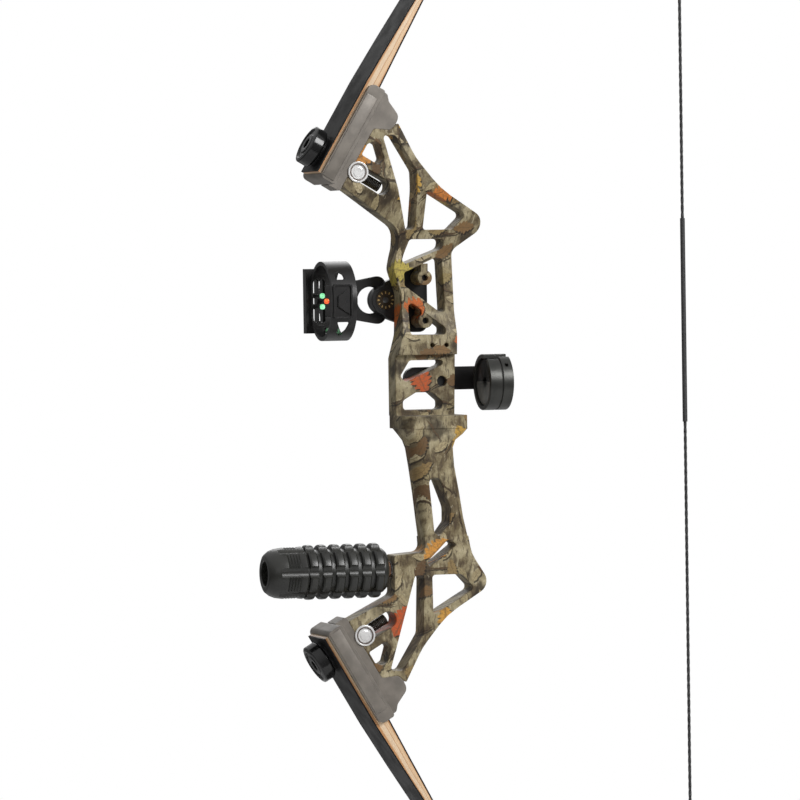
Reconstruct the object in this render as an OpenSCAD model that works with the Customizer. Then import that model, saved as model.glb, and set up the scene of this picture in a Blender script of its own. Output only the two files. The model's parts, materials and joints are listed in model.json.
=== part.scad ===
// Take-down recurve bow, strung, with pin sight, brush rest and stabiliser.
// Millimetres. X runs from the target to the archer, Y across the bow, Z up.
// The origin is the deepest point of the grip on the plane of the string.
// Both ends of the riser mirror about a level plane, so their outlines are
// written once as [x, h], h being the height above that plane.

/* [Riser] */
// Height of the mirror plane above the deepest point of the grip
centre_up = 40; // [34:1:46]
// Reach of the elbows behind the grip
elbow_x = 24.5; // [18:0.5:30]
// Height of the elbows above the mirror plane
elbow_h = 139.7; // [134:0.5:146]
// Thickness of the two trusses across the bow
truss_t = 20; // [16:0.5:24]
// Thickness of the sight window section across the bow
window_t = 18; // [14:0.5:20]
// How far the window face stands past the plane of the string
window_past = 10; // [8:0.5:13]
// Depth of the ledge above the sight window
ledge_step = 5.5; // [3:0.5:7]
// Thickness of the level struts below the elbows
strut_t = 7.2; // [5.5:0.1:9]
// Width of the grip across the bow
grip_w = 27; // [23:0.5:30]
// Thickness of the arrow shelf
shelf_t = 10; // [8:0.5:12]
// Reach of the arrow shelf behind the grip
shelf_reach = 11.5; // [9:0.5:15]
// Radius of the plunger hole above the shelf
plunger_r = 3.97; // [3.2:0.01:4.2]
// Distance between the two sight screws
sight_spacing = 33.34; // [30:0.01:36]
// Radius of the bosses round the sight screws
boss_r = 5.75; // [5:0.05:6.5]
// Distance between the two accessory holes below the sight
pair_spacing = 11.6; // [9:0.1:13]
// Radius of the accessory holes
pair_r = 1.85; // [1.5:0.05:2.2]

/* [Limb pockets] */
// Distance of the barrel nuts ahead of the grip
nut_x = 75.7; // [72:0.1:79]
// Height of the barrel nuts above the mirror plane
nut_h = 178.5; // [175:0.5:182]
// Angle of the limb roots above the level
root_angle = 59.5; // [57:0.5:62]
// Radius of the barrel nuts
nut_r = 8.2; // [7.5:0.1:9]
// Radius of the limb bolts, which have an 8 mm thread
bolt_r = 4; // [3.5:0.1:4.5]
// Radius of the limb bolt knobs
knob_r = 15.6; // [13:0.2:17]
// Height of the limb bolt knobs
knob_h = 10.5; // [8:0.5:13]
// Thickness of the washer under each knob
washer_t = 2.4; // [1.5:0.1:3]
// Length of the pocket along the limb, past the bolt
pocket_len = 62.5; // [56:0.5:68]
// Thickness of the pocket cheeks beside the limb
cheek_t = 3.6; // [2.5:0.1:5]
// Height of the cheeks above the limb seat
cheek_h = 9; // [6:0.5:11]

/* [Limbs] */
// Width of the limbs at the root
limb_w = 42; // [38:0.5:46]
// Width of the limbs at the nocks
tip_w = 14; // [11:0.5:17]
// Thickness of the limbs at the root
root_t = 12.4; // [11:0.1:14]
// Thickness of the limbs where the wedge ends
blade_t = 6.5; // [5.5:0.1:7.5]
// Thickness of the limbs at the nocks
tip_t = 4.8; // [4:0.1:6]
// Thickness of each outer laminate
glass_t = 1.1; // [0.8:0.1:1.5]
// Straight run of the limb past the bolt
root_run = 108; // [95:1:120]
// Radius of the forward bend after the root
reflex_r = 1400; // [1200:20:1800]
// Turn of that bend
reflex_turn = 9; // [7:0.5:11]
// Straight run between the two bends
blade_run = 104; // [90:1:120]
// Radius of the recurve
recurve_r = 178; // [160:1:200]
// Turn of the recurve
recurve_turn = 60.5; // [55:0.5:66]
// Length of the tip past the nock
tip_run = 28; // [20:1:34]
// Radius of the bowstring
string_r = 1.3; // [1:0.1:1.6]
// Radius of the servings wound on the string
serving_r = 1.9; // [1.5:0.1:2.2]
// Length of the centre serving
serving_len = 160; // [120:5:200]

/* [Sight] */
// Outer radius of the sight ring
ring_r = 30.6; // [26:0.2:33]
// Wall of the sight ring
ring_wall = 3; // [2.4:0.1:4]
// Depth of the sight ring along the arrow
ring_depth = 20; // [16:0.5:24]
// Distance of the sight ring's front rim ahead of the grip
ring_x = 104; // [98:1:112]
// Thickness of the plate that mounts the sight
mount_t = 8; // [7:0.5:10]
// Height of the pin rack
rack_h = 50; // [44:1:56]
// Thickness of the sight plates
plate_t = 4.4; // [3.5:0.1:5.5]
// Height of the sight arm
sight_arm_h = 31; // [27:1:35]
// Radius of the tilt dial
dial_r = 7.6; // [6.5:0.1:8.5]

/* [Rest] */
// Outer radius of the rest ring
rest_r = 21.8; // [19:0.2:24]
// Wall of the rest ring
rest_wall = 3.4; // [2.6:0.1:4.2]
// Depth of the rest ring along the arrow
rest_depth = 19; // [16:0.5:22]
// Distance of the rest ring's front rim behind the grip
rest_x = 26; // [22:0.5:32]
// Height of the rest arm
rest_arm_h = 18; // [15:0.5:21]
// Length of the rest arm up to its flange
rest_arm_len = 73.3; // [68:0.1:80]
// Radius of the hole in the brush
brush_hole_r = 4.4; // [3.8:0.1:5.5]

/* [Stabiliser] */
// Radius over the ribs
rib_r = 21.4; // [19:0.2:24]
// Radius between the ribs
valley_r = 18.2; // [16:0.2:19]
// Number of ribs
rib_count = 6; // [4:1:7]
// Distance between the ribs
rib_pitch = 10.5; // [9.5:0.1:11.5]
// Number of flutes along the body
flute_count = 9; // [7:1:12]
// Length of the domed nose
nose_len = 27; // [22:0.5:32]
// Radius of the socket in the nose
socket_r = 9.6; // [8:0.1:11]
// Depth of the socket in the nose
socket_depth = 9; // [5:0.5:14]
// Radius of the stud
stud_r = 3.97; // [3.5:0.01:4.2]

/* [Hidden] */
$fn = 48;

// Running clearance of shafts, and the gap between pieces that only pass
run = 0.05;
gap = 0.3;
far = 400;

// Clear height of the limb seat and of the riser seat above the barrel nut
riser_seat = 5.5;
limb_seat = 19.5;
pocket_butt = -20.5;
end_wall_t = 2.8;
limb_butt = pocket_butt + end_wall_t + gap;
slot_end = -29;
slot_half = 6.4;
knob_face = limb_seat + root_t + washer_t;
nut = [-nut_x, nut_h];
along = [cos(root_angle), sin(root_angle)];
ahead = [-sin(root_angle), cos(root_angle)];
window_far = window_past + window_t;
section_near = window_past - 1;
ledge_near = window_past - ledge_step;
front_x = -41.3;
belly_x = 6.4;
shelf_top = 29.6;
shelf_low = shelf_top - shelf_t;
leg_top = -64;
ledge_z = 76.5;
stab_z = -89;
boss_face = -50.8;
sight_x = -16.5;
sight_low = 103;
plunger_x = -3.5;
plunger_z = 56;

// A point given along the limb and ahead of the barrel nut, as [x, h]
function at_pocket(a, b) = nut + a * along + b * ahead;
function corner(a, b, r) = concat(at_pocket(a, b), r);
function unit(v) = v / norm(v);
function turn(a) = a > 180 ? a - 360 : a < -180 ? a + 360 : a;

// One corner of an outline, rounded to a radius that its sides leave room for
function bend(p, q, s, r) =
    let (u = unit(p - q), v = unit(s - q), half = acos(max(-1, min(1, u * v))) / 2)
    half > 89.6 ? [q] :
    let (d = min(r / tan(half), 0.49 * norm(p - q), 0.49 * norm(s - q)),
         c = q + unit(u + v) * d / cos(half),
         m = q + u * d - c, e = q + v * d - c,
         a = atan2(m.y, m.x), w = turn(atan2(e.y, e.x) - a), n = max(2, ceil(abs(w) / 14)))
    [for (i = [0:n]) c + norm(m) * [cos(a + w * i / n), sin(a + w * i / n)]];

// A closed outline from corners given as [x, y, radius]
function rounded(p) = [for (i = [0:len(p) - 1])
    let (b = p[(i + len(p) - 1) % len(p)], f = p[(i + 1) % len(p)],
         q = [p[i].x, p[i].y])
    each (p[i].z > 0 ? bend([b.x, b.y], q, [f.x, f.y], p[i].z) : [q])];

// Upright plates: an [x, z] outline with thickness across the bow
module across(t, y = 0) {
    translate([0, y, 0]) rotate([90, 0, 0]) linear_extrude(t, center = true) children();
}

// An [y, z] outline drawn out along the arrow
module lengthwise() {
    rotate([90, 0, 90]) linear_extrude(2 * far, center = true) children();
}

// Places what is drawn with [x, h] at the upper end (1) or the lower end (-1)
module end(side) {
    translate([0, 0, centre_up]) mirror([0, 0, side < 0 ? 1 : 0]) children();
}

// Turns an upright cylinder to lie along the limb bolt, starting at a and b
module on_bolt(a, b) {
    p = at_pocket(a, b);
    translate([p.x, 0, p.y]) rotate([0, -root_angle, 0]) children();
}

// A cylinder across the bow from y0 to y1
module cross_pin(x, z, r, y0, y1) {
    translate([x, y1, z]) rotate([90, 0, 0]) cylinder(r = r, h = y1 - y0);
}

// A cylinder along the arrow from x0 to x1
module long_pin(y, z, r, x0, x1) {
    translate([x0, y, z]) rotate([0, 90, 0]) cylinder(r = r, h = x1 - x0);
}

// A block given by its near lower corner and its far upper corner
module block(p, q) {
    translate(p) cube(q - p);
}

// Outlines of the upper and lower truss, from the pocket seat to the section
function seat_line() = [corner(-16, riser_seat, 1), corner(35.5, riser_seat, 3),
    corner(41, -6.5, 4), corner(49, -9.4, 1)];
function arm_line() = [[-29, nut_h + 11, 60], [-9, elbow_h + 25.5, 60]];
function flip(p) = [for (i = [len(p) - 1:-1:0]) p[i]];
function to_z(p, side) = [for (c = p) [c.x, centre_up + side * c.y, c.z]];

upper_outline = concat(
    to_z(flip(seat_line()), 1),
    [[-39.5, 174.4, 14], [-38.8, 159, 15], [-42, 143.5, 10], [-35.4, 123.5, 12],
     [-36.4, 92, 20], [front_x, 74, 8], [front_x, shelf_top, 0],
     [belly_x, shelf_top, 0], [belly_x + 1.3, 90, 40], [belly_x - 1.2, 157.5, 8]],
    to_z([[elbow_x + 10, elbow_h - 1.3, 9.7]], 1),
    to_z(flip(arm_line()), 1));

lower_outline = concat(
    to_z(seat_line(), -1), to_z(arm_line(), -1),
    to_z([[elbow_x + 3.4, elbow_h + 2.6, 10]], -1),
    [[12.2, -78, 25], [9.6, leg_top, 0], [-26, leg_top, 0], [-25.3, -75.6, 11],
     [boss_face, -77.6, 1.5], [boss_face, -108.3, 5]]);

// Side view of the offset section and of the slope that joins it to the truss
section_side = [
    [window_past, shelf_top, 0], [window_past, ledge_z, 0], [ledge_near, ledge_z, 0.6],
    [ledge_near, 93, 12], [section_near, 110, 12], [section_near, 155, 20],
    [-truss_t / 2, 205, 20], [-truss_t / 2, 270, 0], [truss_t / 2, 270, 0],
    [truss_t / 2, 205, 20], [window_far, 155, 20], [window_far, shelf_top, 0]];

// Windows of a truss, as [x, h]
long_window = [[-55.3, 206.5, 2.5], [-45, 207, 4], [-27.9, 179, 8],
    [-26.6, elbow_h - 6, 3.5], [-34.2, elbow_h - 6, 2]];
elbow_window = [[-19.8, 165, 2], [elbow_x - 10, elbow_h + 5.2, 3.5],
    [elbow_x - 20.5, elbow_h - 6.2, 4], [-20.2, elbow_h - 6.2, 2.5]];
tongue_window = [corner(13, 4, 1.5), corner(13, -12.5, 2.5), corner(19.5, -13.5, 2.5),
    corner(27.6, -5, 2.5), corner(27.8, -0.5, 2), corner(22.5, 4, 1.5)];

// Windows of the sight section and of the lower leg, as [x, z]
strut_low = centre_up + elbow_h - 6.2 - strut_t;
section_windows = [
    [[-30, strut_low, 3], [-1.8, strut_low, 3], [-2, 159, 4], [-36.5, 145.6, 3]],
    [[-33.5, 140.5, 2.5], [-8, 151.8, 4], [-2.4, 151, 3], [-0.4, 110, 4], [-5, 109.6, 3],
     [-33.2, 130.4, 3]],
    [[-30.4, 119.5, 3], [-1.4, 97.5, 2.5], [-1.4, 92, 3], [-30.4, 92, 3]],
    [[-29.8, 72.4, 3], [-2.6, 72.4, 3], [-2.6, 68.6, 3], [-33.5, 55.4, 3], [-37.4, 60.4, 2.5]],
    [[-25, 47.4, 3], [-11.5, 47.4, 4], [-3.4, 40.4, 3], [-3.4, 33.8, 3], [-35.6, 33.8, 3],
     [-35.6, 41.2, 3]]];
brace_window = [[-7, -66.4, 2], [0.6, -70.4, 1.5], [-22.3, -87.7, 1.5], [-24.4, -83.6, 1.5]];
leg_window = [[-22.9, -18.4, 4], [-13.6, -18.4, 4], [-4.9, -42, 14], [-5.2, -53, 4],
    [-14, -64.4, 3], [-18.2, -60.4, 3]];

// Sections of the grip: [z, front, belly, near side, far side, corner radius]
grip_sections = [
    [shelf_low, front_x + 0.8, shelf_reach - 0.5, -grip_w / 2, window_far - 0.5, 6],
    [shelf_low - 4.6, -39, 7.5, -grip_w / 2, window_far - 6, 9],
    [shelf_low - 9, -37.8, 2.2, -grip_w / 2, grip_w / 2 + 3, 11],
    [shelf_low - 15, -36.6, 0, -grip_w / 2, grip_w / 2, 11.5],
    [-10, -34.2, 1, -grip_w / 2 + 0.4, grip_w / 2 - 0.4, 11],
    [-30, -31.2, 4.4, -truss_t / 2 - 2, truss_t / 2 + 2, 9],
    [-50, -28.4, 7, -truss_t / 2 - 1, truss_t / 2 + 1, 6],
    [leg_top, -26, 9.6, -truss_t / 2, truss_t / 2, 2.5]];

function ring_of(s, n) = let (x0 = s[1] + s[5], x1 = s[2] - s[5], y0 = s[3] + s[5], y1 = s[4] - s[5])
    [for (q = [0:3], i = [0:n - 1]) let (a = 90 * q + 90 * i / (n - 1))
        [(q == 0 || q == 3 ? x1 : x0) + s[5] * cos(a), (q < 2 ? y1 : y0) + s[5] * sin(a), s[0]]];

// A solid through a stack of rings that all have the same number of points
module loft(rings) {
    m = len(rings[0]);
    k = len(rings);
    polyhedron(
        points = [for (r = rings) each r],
        faces = concat(
            [[for (i = [0:m - 1]) i]],
            [for (j = [0:k - 2], i = [0:m - 1]) let (a = j * m + i, b = j * m + (i + 1) % m)
                each [[a, a + m, b], [b, a + m, b + m]]],
            [[for (i = [m - 1:-1:0]) (k - 1) * m + i]]),
        convexity = 8);
}

sight_screw_r = 2.4;
pair_x = -6.8;
pair_z = 84;
bushing_r = 5.4;
bushing_len = 20;
barrel_r = 5.4;
screw_rows = [-11, 32];
screw_r = 1.98;

module truss_cuts(side) {
    p = at_pocket(0, 0);
    end(side) {
        across(far) polygon(rounded(long_window));
        across(far) polygon(rounded(elbow_window));
        across(far) polygon(rounded(tongue_window));
        across(far) translate(p) rotate(root_angle) union() {
            translate([-slot_half, slot_end + slot_half]) square([2 * slot_half, -slot_end - slot_half]);
            translate([0, slot_end + slot_half]) circle(slot_half);
        }
        cross_pin(p.x, p.y, barrel_r + run, -far, far);
        on_bolt(0, 0) cylinder(r = bolt_r + gap, h = 20);
        for (a = screw_rows) on_bolt(a, riser_seat - 10) cylinder(r = screw_r + run, h = 20);
    }
}

module riser_upper() {
    intersection() {
        across(far) difference() {
            polygon(rounded(upper_outline));
            for (w = section_windows) polygon(rounded(w));
        }
        lengthwise() polygon(rounded(section_side));
    }
    // Bosses for the sight screws, each on a neck to the strut above it
    for (i = [0, 1]) translate([0, 0, i * sight_spacing]) {
        cross_pin(sight_x, sight_low, boss_r, section_near, window_far);
        translate([sight_x - 3, section_near, sight_low + 1]) cube([5.4, window_t + 1, 10]);
    }
}

module riser_lower() {
    across(truss_t) polygon(rounded(lower_outline));
}

module riser_grip() {
    loft([for (s = flip(grip_sections)) ring_of(s, 8)]);
    translate([0, 0, shelf_low]) linear_extrude(shelf_t) polygon(rounded([
        [front_x - 0.4, -grip_w / 2 - 0.6, 12], [3, -grip_w / 2 - 0.6, 8], [shelf_reach, -7, 4],
        [shelf_reach, window_far, 1.5], [front_x, window_far, 1.5], [front_x - 0.4, 6, 2]]));
}

module riser() {
    color([0.45, 0.40, 0.30]) difference() {
        union() {
            riser_upper();
            riser_grip();
            riser_lower();
        }
        truss_cuts(1);
        truss_cuts(-1);
        across(far) polygon(rounded(brace_window));
        across(far) polygon(rounded(leg_window));
        for (i = [0, 1])
            cross_pin(sight_x, sight_low + i * sight_spacing, sight_screw_r + run, 0, far);
        for (i = [-0.5, 0.5])
            cross_pin(pair_x + i * pair_spacing, pair_z, pair_r, ledge_near - 1, ledge_near + 12);
        cross_pin(plunger_x, plunger_z, plunger_r, -far, far);
        long_pin(0, stab_z, bushing_r, boss_face - 1, boss_face + bushing_len);
    }
}

// Threaded insert for the stabiliser stud
module stabiliser_bushing() {
    color("silver") difference() {
        long_pin(0, stab_z, bushing_r, boss_face, boss_face + bushing_len);
        long_pin(0, stab_z, stud_r + run, boss_face - 1, boss_face + bushing_len - 1);
    }
}

// Pocket: a channel for the limb on a block that sits on the riser's end
block_line = [corner(pocket_butt, limb_seat - 4, 0), corner(pocket_butt, riser_seat, 2),
    corner(35.5, riser_seat, 3), corner(41, -6.5, 4), corner(46, -8.31, 2),
    corner(54, -7.6, 6), corner(59.5, 5, 4), corner(pocket_len + 1.5, 9, 3),
    corner(pocket_len + 1.5, limb_seat - 4, 0)];
bed_line = [corner(pocket_butt, limb_seat - 4.4, 2), corner(pocket_len, limb_seat - 4.4, 2),
    corner(pocket_len, limb_seat + cheek_h, 5), corner(pocket_butt, limb_seat + cheek_h, 4)];
slot_line = [at_pocket(pocket_butt + end_wall_t, limb_seat), at_pocket(far, limb_seat),
    at_pocket(far, far), at_pocket(pocket_butt + end_wall_t, far)];
pin_a = 46;
pin_r = 3;
screw_head_r = 3.5;
screw_head_h = 4;
head_seat = limb_seat - screw_head_h - 0.6;

module pocket(side) {
    slot_w = limb_w + 2 * gap;
    color([0.24, 0.23, 0.22]) end(side) difference() {
        union() {
            across(truss_t - 0.2) polygon(rounded(block_line));
            difference() {
                across(slot_w + 2 * cheek_t) polygon(rounded(bed_line));
                across(slot_w) polygon(slot_line);
            }
        }
        on_bolt(0, 0) cylinder(r = bolt_r + gap, h = 40);
        on_bolt(pin_a, limb_seat - 8) cylinder(r = pin_r, h = 20);
        for (a = screw_rows) {
            on_bolt(a, 0) cylinder(r = screw_r + run, h = 40);
            on_bolt(a, head_seat) cylinder(r = screw_head_r + gap, h = 10);
        }
    }
}

module upper_pocket() { pocket(1); }
module lower_pocket() { pocket(-1); }

module pocket_screws(side) {
    color([0.1, 0.1, 0.1]) end(side) for (a = screw_rows) difference() {
        union() {
            on_bolt(a, riser_seat - 9) cylinder(r = screw_r, h = head_seat - riser_seat + 10);
            on_bolt(a, head_seat) cylinder(r = screw_head_r, h = screw_head_h);
        }
        on_bolt(a, head_seat + 2) cylinder(r = 1.7, h = 4, $fn = 6);
    }
}

module upper_pocket_screws() { pocket_screws(1); }
module lower_pocket_screws() { pocket_screws(-1); }

// Barrel nut: a round bar across the riser, cross-drilled for the bolt, with a
// flange and a raised ring on each side
module barrel_nut(side) {
    half = truss_t / 2;
    x = nut.x;
    z = nut.y;
    color("gainsboro") end(side) difference() {
        union() {
            cross_pin(x, z, barrel_r, -half - 1.2, half + 1.2);
            for (y = [-half - 1.2, half]) cross_pin(x, z, nut_r, y, y + 1.2);
        }
        for (s = [-1, 1]) difference() {
            cross_pin(x, z, nut_r - 1.7, s * (half + 1.2) - 0.5, s * (half + 1.2) + 0.5);
            cross_pin(x, z, nut_r - 4.4, -far, far);
        }
        on_bolt(0, -20) cylinder(r = bolt_r + run, h = 40);
    }
}

module upper_barrel_nut() { barrel_nut(1); }
module lower_barrel_nut() { barrel_nut(-1); }

module locating_pin(side) {
    color("silver") end(side) on_bolt(pin_a, limb_seat - 7.9) cylinder(r = pin_r, h = 14);
}

module upper_locating_pin() { locating_pin(1); }
module lower_locating_pin() { locating_pin(-1); }

bolt_tail = -23;

module limb_bolt(side) {
    color([0.09, 0.09, 0.1]) end(side) on_bolt(0, bolt_tail)
        cylinder(r = bolt_r, h = knob_face + 5 - bolt_tail);
}

module upper_limb_bolt() { limb_bolt(1); }
module lower_limb_bolt() { limb_bolt(-1); }

module bolt_knob(side) {
    color([0.07, 0.07, 0.08]) end(side) difference() {
        on_bolt(0, knob_face) rotate_extrude() polygon(rounded([
            [0, 0, 0], [knob_r - 1.2, 0, 0.5], [knob_r, 1.6, 0.6], [knob_r, knob_h - 1, 1],
            [knob_r - 3, knob_h, 0.8], [knob_r - 3.4, knob_h - 1.4, 0.6], [8.4, knob_h - 1.4, 0.6],
            [7.8, knob_h - 0.4, 0.6], [0, knob_h - 0.4, 0]]));
        on_bolt(0, knob_face - 1) cylinder(r = bolt_r, h = 6);
        on_bolt(0, knob_face + knob_h - 4.4) cylinder(r = 4.6, h = 10, $fn = 6);
    }
}

module upper_bolt_knob() { bolt_knob(1); }
module lower_bolt_knob() { bolt_knob(-1); }

module bolt_washer(side) {
    color([0.13, 0.13, 0.13]) end(side) difference() {
        on_bolt(0, limb_seat + root_t + glue_t) cylinder(r = 12.4, h = washer_t - 2 * glue_t);
        on_bolt(0, limb_seat + root_t - 1) cylinder(r = bolt_r + run, h = washer_t + 2);
    }
}

module upper_bolt_washer() { bolt_washer(1); }
module lower_bolt_washer() { bolt_washer(-1); }

// Centre line of a limb: straight root, forward bend, straight blade, recurve, tip.
// s is the distance from the limb bolt, and each bend is a true arc.
s_reflex = root_run;
s_blade = s_reflex + reflex_r * reflex_turn * PI / 180;
s_recurve = s_blade + blade_run;
s_nock = s_recurve + recurve_r * recurve_turn * PI / 180;
s_tip = s_nock + tip_run;
wedge_end = 140;
function dir(t) = [cos(t), sin(t)];
function left(t) = [-sin(t), cos(t)];
function arc_end(p, t, r, w) = p + r * (left(t) - left(t + w)) * sign(w);
p_root = at_pocket(0, limb_seat + root_t / 2);
t_blade = root_angle - reflex_turn;
t_tip = t_blade + recurve_turn;
p_reflex = p_root + s_reflex * dir(root_angle);
p_blade = arc_end(p_reflex, root_angle, reflex_r, -reflex_turn);
p_recurve = p_blade + blade_run * dir(t_blade);
p_nock = arc_end(p_recurve, t_blade, recurve_r, recurve_turn);

function heading(s) =
    s < s_reflex ? root_angle :
    s < s_blade ? root_angle - (s - s_reflex) / reflex_r * 180 / PI :
    s < s_recurve ? t_blade :
    s < s_nock ? t_blade + (s - s_recurve) / recurve_r * 180 / PI : t_tip;
function centre(s) =
    s < s_reflex ? p_root + s * dir(root_angle) :
    s < s_blade ? arc_end(p_reflex, root_angle, reflex_r, heading(s) - root_angle - 0.0001) :
    s < s_recurve ? p_blade + (s - s_blade) * dir(t_blade) :
    s < s_nock ? arc_end(p_recurve, t_blade, recurve_r, heading(s) - t_blade + 0.0001) :
    p_nock + (s - s_nock) * dir(t_tip);
function mix(a, b, f) = a + (b - a) * max(0, min(1, f));
function thick(s) = s < wedge_end ? mix(root_t, blade_t, (s - pocket_len) / (wedge_end - pocket_len)) :
    mix(blade_t, tip_t, (s - wedge_end) / (s_nock - wedge_end));
// Distance f of the half thickness, plus d, in front of the centre line
function face(s, f, d = 0) = centre(s) + (f * thick(s) / 2 + d) * left(heading(s));

limb_stations = concat([limb_butt, pocket_len, (pocket_len + wedge_end) / 2, wedge_end],
    [for (i = [1:10]) mix(wedge_end, s_blade, i / 10)],
    [for (i = [1:3]) mix(s_blade, s_recurve, i / 3)],
    [for (i = [1:18]) mix(s_recurve, s_nock, i / 18)], [s_tip]);

// Outline of a layer of the limb between two depths, as [x, h]
function layer(stations, f0, d0, f1, d1) = concat(
    [for (s = stations) face(s, f0, d0)], [for (s = flip(stations)) face(s, f1, d1)]);

// The limb seen from the front: parallel at the root, then tapered to the tip
limb_front = [[limb_w / 2, 0, 0], [limb_w / 2, p_reflex.y, 120], [tip_w / 2 + 1.4, p_nock.y - 26, 60],
    [tip_w / 2, p_nock.y + 4, 30], [tip_w / 2 - 1.4, p_nock.y + tip_run + 6, 0]];
limb_plan = concat(limb_front, [for (c = flip(limb_front)) [-c.x, c.y, c.z]]);

groove_turn = 35;
groove_r = 2.9;

// String grooves at the nock, one on each side of the tip
module nock_grooves() {
    p = centre(s_nock);
    for (s = [-1, 1]) translate([p.x, s * (tip_w / 2 + 1.6), p.y])
        rotate([0, 180 + groove_turn - t_tip, 0]) cylinder(r = groove_r, h = 60, center = true);
}

module limb_layer(side, f0, d0, f1, d1, stations = limb_stations) {
    end(side) difference() {
        intersection() {
            across(limb_w + 2) polygon(layer(stations, f0, d0, f1, d1));
            lengthwise() polygon(rounded(limb_plan));
        }
        on_bolt(0, 0) cylinder(r = bolt_r + gap, h = 60);
        on_bolt(pin_a, limb_seat - 1) cylinder(r = pin_r + run, h = 8);
        nock_grooves();
    }
}

module limb_core(side) { color([0.87, 0.70, 0.45]) limb_layer(side, 1, -glass_t, -1, glass_t); }
module limb_back(side) { color([0.08, 0.08, 0.09]) limb_layer(side, 1, 0, 1, -glass_t); }
module limb_belly(side) { color([0.08, 0.08, 0.09]) limb_layer(side, -1, glass_t, -1, 0); }
module upper_limb_core() { limb_core(1); }
module lower_limb_core() { limb_core(-1); }
module upper_limb_back() { limb_back(1); }
module lower_limb_back() { limb_back(-1); }
module upper_limb_belly() { limb_belly(1); }
module lower_limb_belly() { limb_belly(-1); }

overlay_run = 40;
overlay_t = 3;
glue_t = 0.02;
overlay_stations = [for (s = limb_stations) if (s > s_nock - overlay_run && s < s_tip) s];
overlay_n = len(overlay_stations);

module tip_overlay(side) {
    color([0.06, 0.06, 0.07]) end(side) difference() {
        intersection() {
            across(limb_w) polygon(concat(
                [for (s = overlay_stations) face(s, 1, glue_t)], [face(s_tip, 1, glue_t)],
                [face(s_tip, 1, overlay_t * 0.7), face(s_nock, 1, overlay_t)],
                [for (i = [overlay_n - 2:-1:1]) face(overlay_stations[i], 1, overlay_t * i / overlay_n)]));
            lengthwise() polygon(rounded(limb_plan));
        }
        nock_grooves();
    }
}

module upper_tip_overlay() { tip_overlay(1); }
module lower_tip_overlay() { tip_overlay(-1); }

// String: straight between the points where it leaves the recurves
s_touch = s_recurve + recurve_r * (90 - t_blade) * PI / 180;
p_touch = face(s_touch, -1, -serving_r - 0.2);
string_x = p_touch.x;
end_serving = 62;
straight_h = p_touch.y - end_serving;
served_in = 8;
serving_low = 20;

module bowstring() {
    color([0.16, 0.16, 0.17]) translate([string_x, 0, centre_up - straight_h - served_in])
        cylinder(r = string_r, h = 2 * (straight_h + served_in));
}

module centre_serving() {
    color([0.05, 0.05, 0.05]) translate([string_x, 0, serving_low]) difference() {
        cylinder(r = serving_r, h = serving_len);
        translate([0, 0, -1]) cylinder(r = string_r, h = serving_len + 2);
    }
}

// A tube along a list of points, closed at both ends
module tube(path, r, n = 8) {
    m = len(path);
    function tangent(i) = unit(path[min(i + 1, m - 1)] - path[max(i - 1, 0)]);
    function frame(i) = let (t = tangent(i), u = unit(cross(t, [0.02, 1, 0.01]))) [u, cross(t, u)];
    function frame2(i) = let (t = tangent(i), u = unit(cross(t, [0.3, 0.01, -1]))) [u, cross(t, u)];
    flat_path = max([for (p = path) abs(p.y)]) < 0.1;
    loft([for (i = [0:m - 1]) let (f = flat_path ? frame(i) : frame2(i))
        [for (j = [0:n - 1]) path[i] + r * (cos(360 * j / n) * f[0] + sin(360 * j / n) * f[1])]]);
}

loop_r = 1.5;
loop_w = tip_w / 2 + 1;
loop_d = (tip_t + overlay_t) / 2 + loop_r + 0.15;
loop_rise = loop_d * tan(groove_turn);
function soft(v) = sign(v) * pow(abs(v), 0.45);
string_path = concat([[string_x, 0, straight_h], [string_x, 0, p_touch.y]],
    [for (i = [1:8]) let (q = face(mix(s_touch, s_nock - 3, i / 8), -1, -serving_r - 0.2)) [q.x, 0, q.y]]);
loop_path = [for (i = [0:28]) let (a = 0.4 + 359.2 * i / 28,
    q = centre(s_nock + overlay_t / 2 * tan(groove_turn) - loop_rise * soft(cos(a))),
    d = left(t_tip) * (overlay_t / 2 - loop_d * soft(cos(a))))
    [q.x + d.x, loop_w * soft(sin(a)), q.y + d.y]];

module string_loop(side) {
    color([0.05, 0.05, 0.05]) end(side) difference() {
        union() {
            tube(string_path, serving_r);
            tube(loop_path, loop_r);
        }
        translate([string_x, 0, straight_h - 1]) cylinder(r = string_r, h = served_in + 1);
    }
}

module upper_string_loop() { string_loop(1); }
module lower_string_loop() { string_loop(-1); }

// Sight. The mounting plate lies on the far face of the riser, the arm turns on
// a hollow pivot in it, and the carriage rides up and down in the arm's slot.
ring_z = 119.4;
dial_x = -42.6;
eye_r = 11.3;
pivot_r = 4.4;
mount_far = window_far + mount_t;
arm_near = mount_far + gap;
arm_far = arm_near + plate_t;
arm_end = -84.3;
lift_x = -76;
lift_half = 2.4;
lift_reach = 12.2;

module sight_mount_plate() {
    top = sight_low + sight_spacing + 9;
    low = sight_low - 9;
    color([0.2, 0.2, 0.2]) difference() {
        union() {
            across(mount_t, window_far + mount_t / 2) polygon(rounded([
                [dial_x - 2, ring_z + 13.5, 6], [-30, ring_z + 19, 8], [sight_x - 6, top, 8],
                [sight_x + 8, top, 8], [sight_x + 8, low, 8], [sight_x - 6, low, 8],
                [-30, ring_z - 19, 8], [dial_x - 2, ring_z - 13.5, 6]]));
            cross_pin(dial_x, ring_z, eye_r, window_far, mount_far);
        }
        for (i = [0, 1]) cross_pin(sight_x, sight_low + i * sight_spacing, sight_screw_r + 0.2, 0, far);
        cross_pin(dial_x, ring_z, pivot_r, 0, far);
        cross_pin(dial_x, ring_z, dial_r, 0, window_far + 2.4);
    }
}

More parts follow.
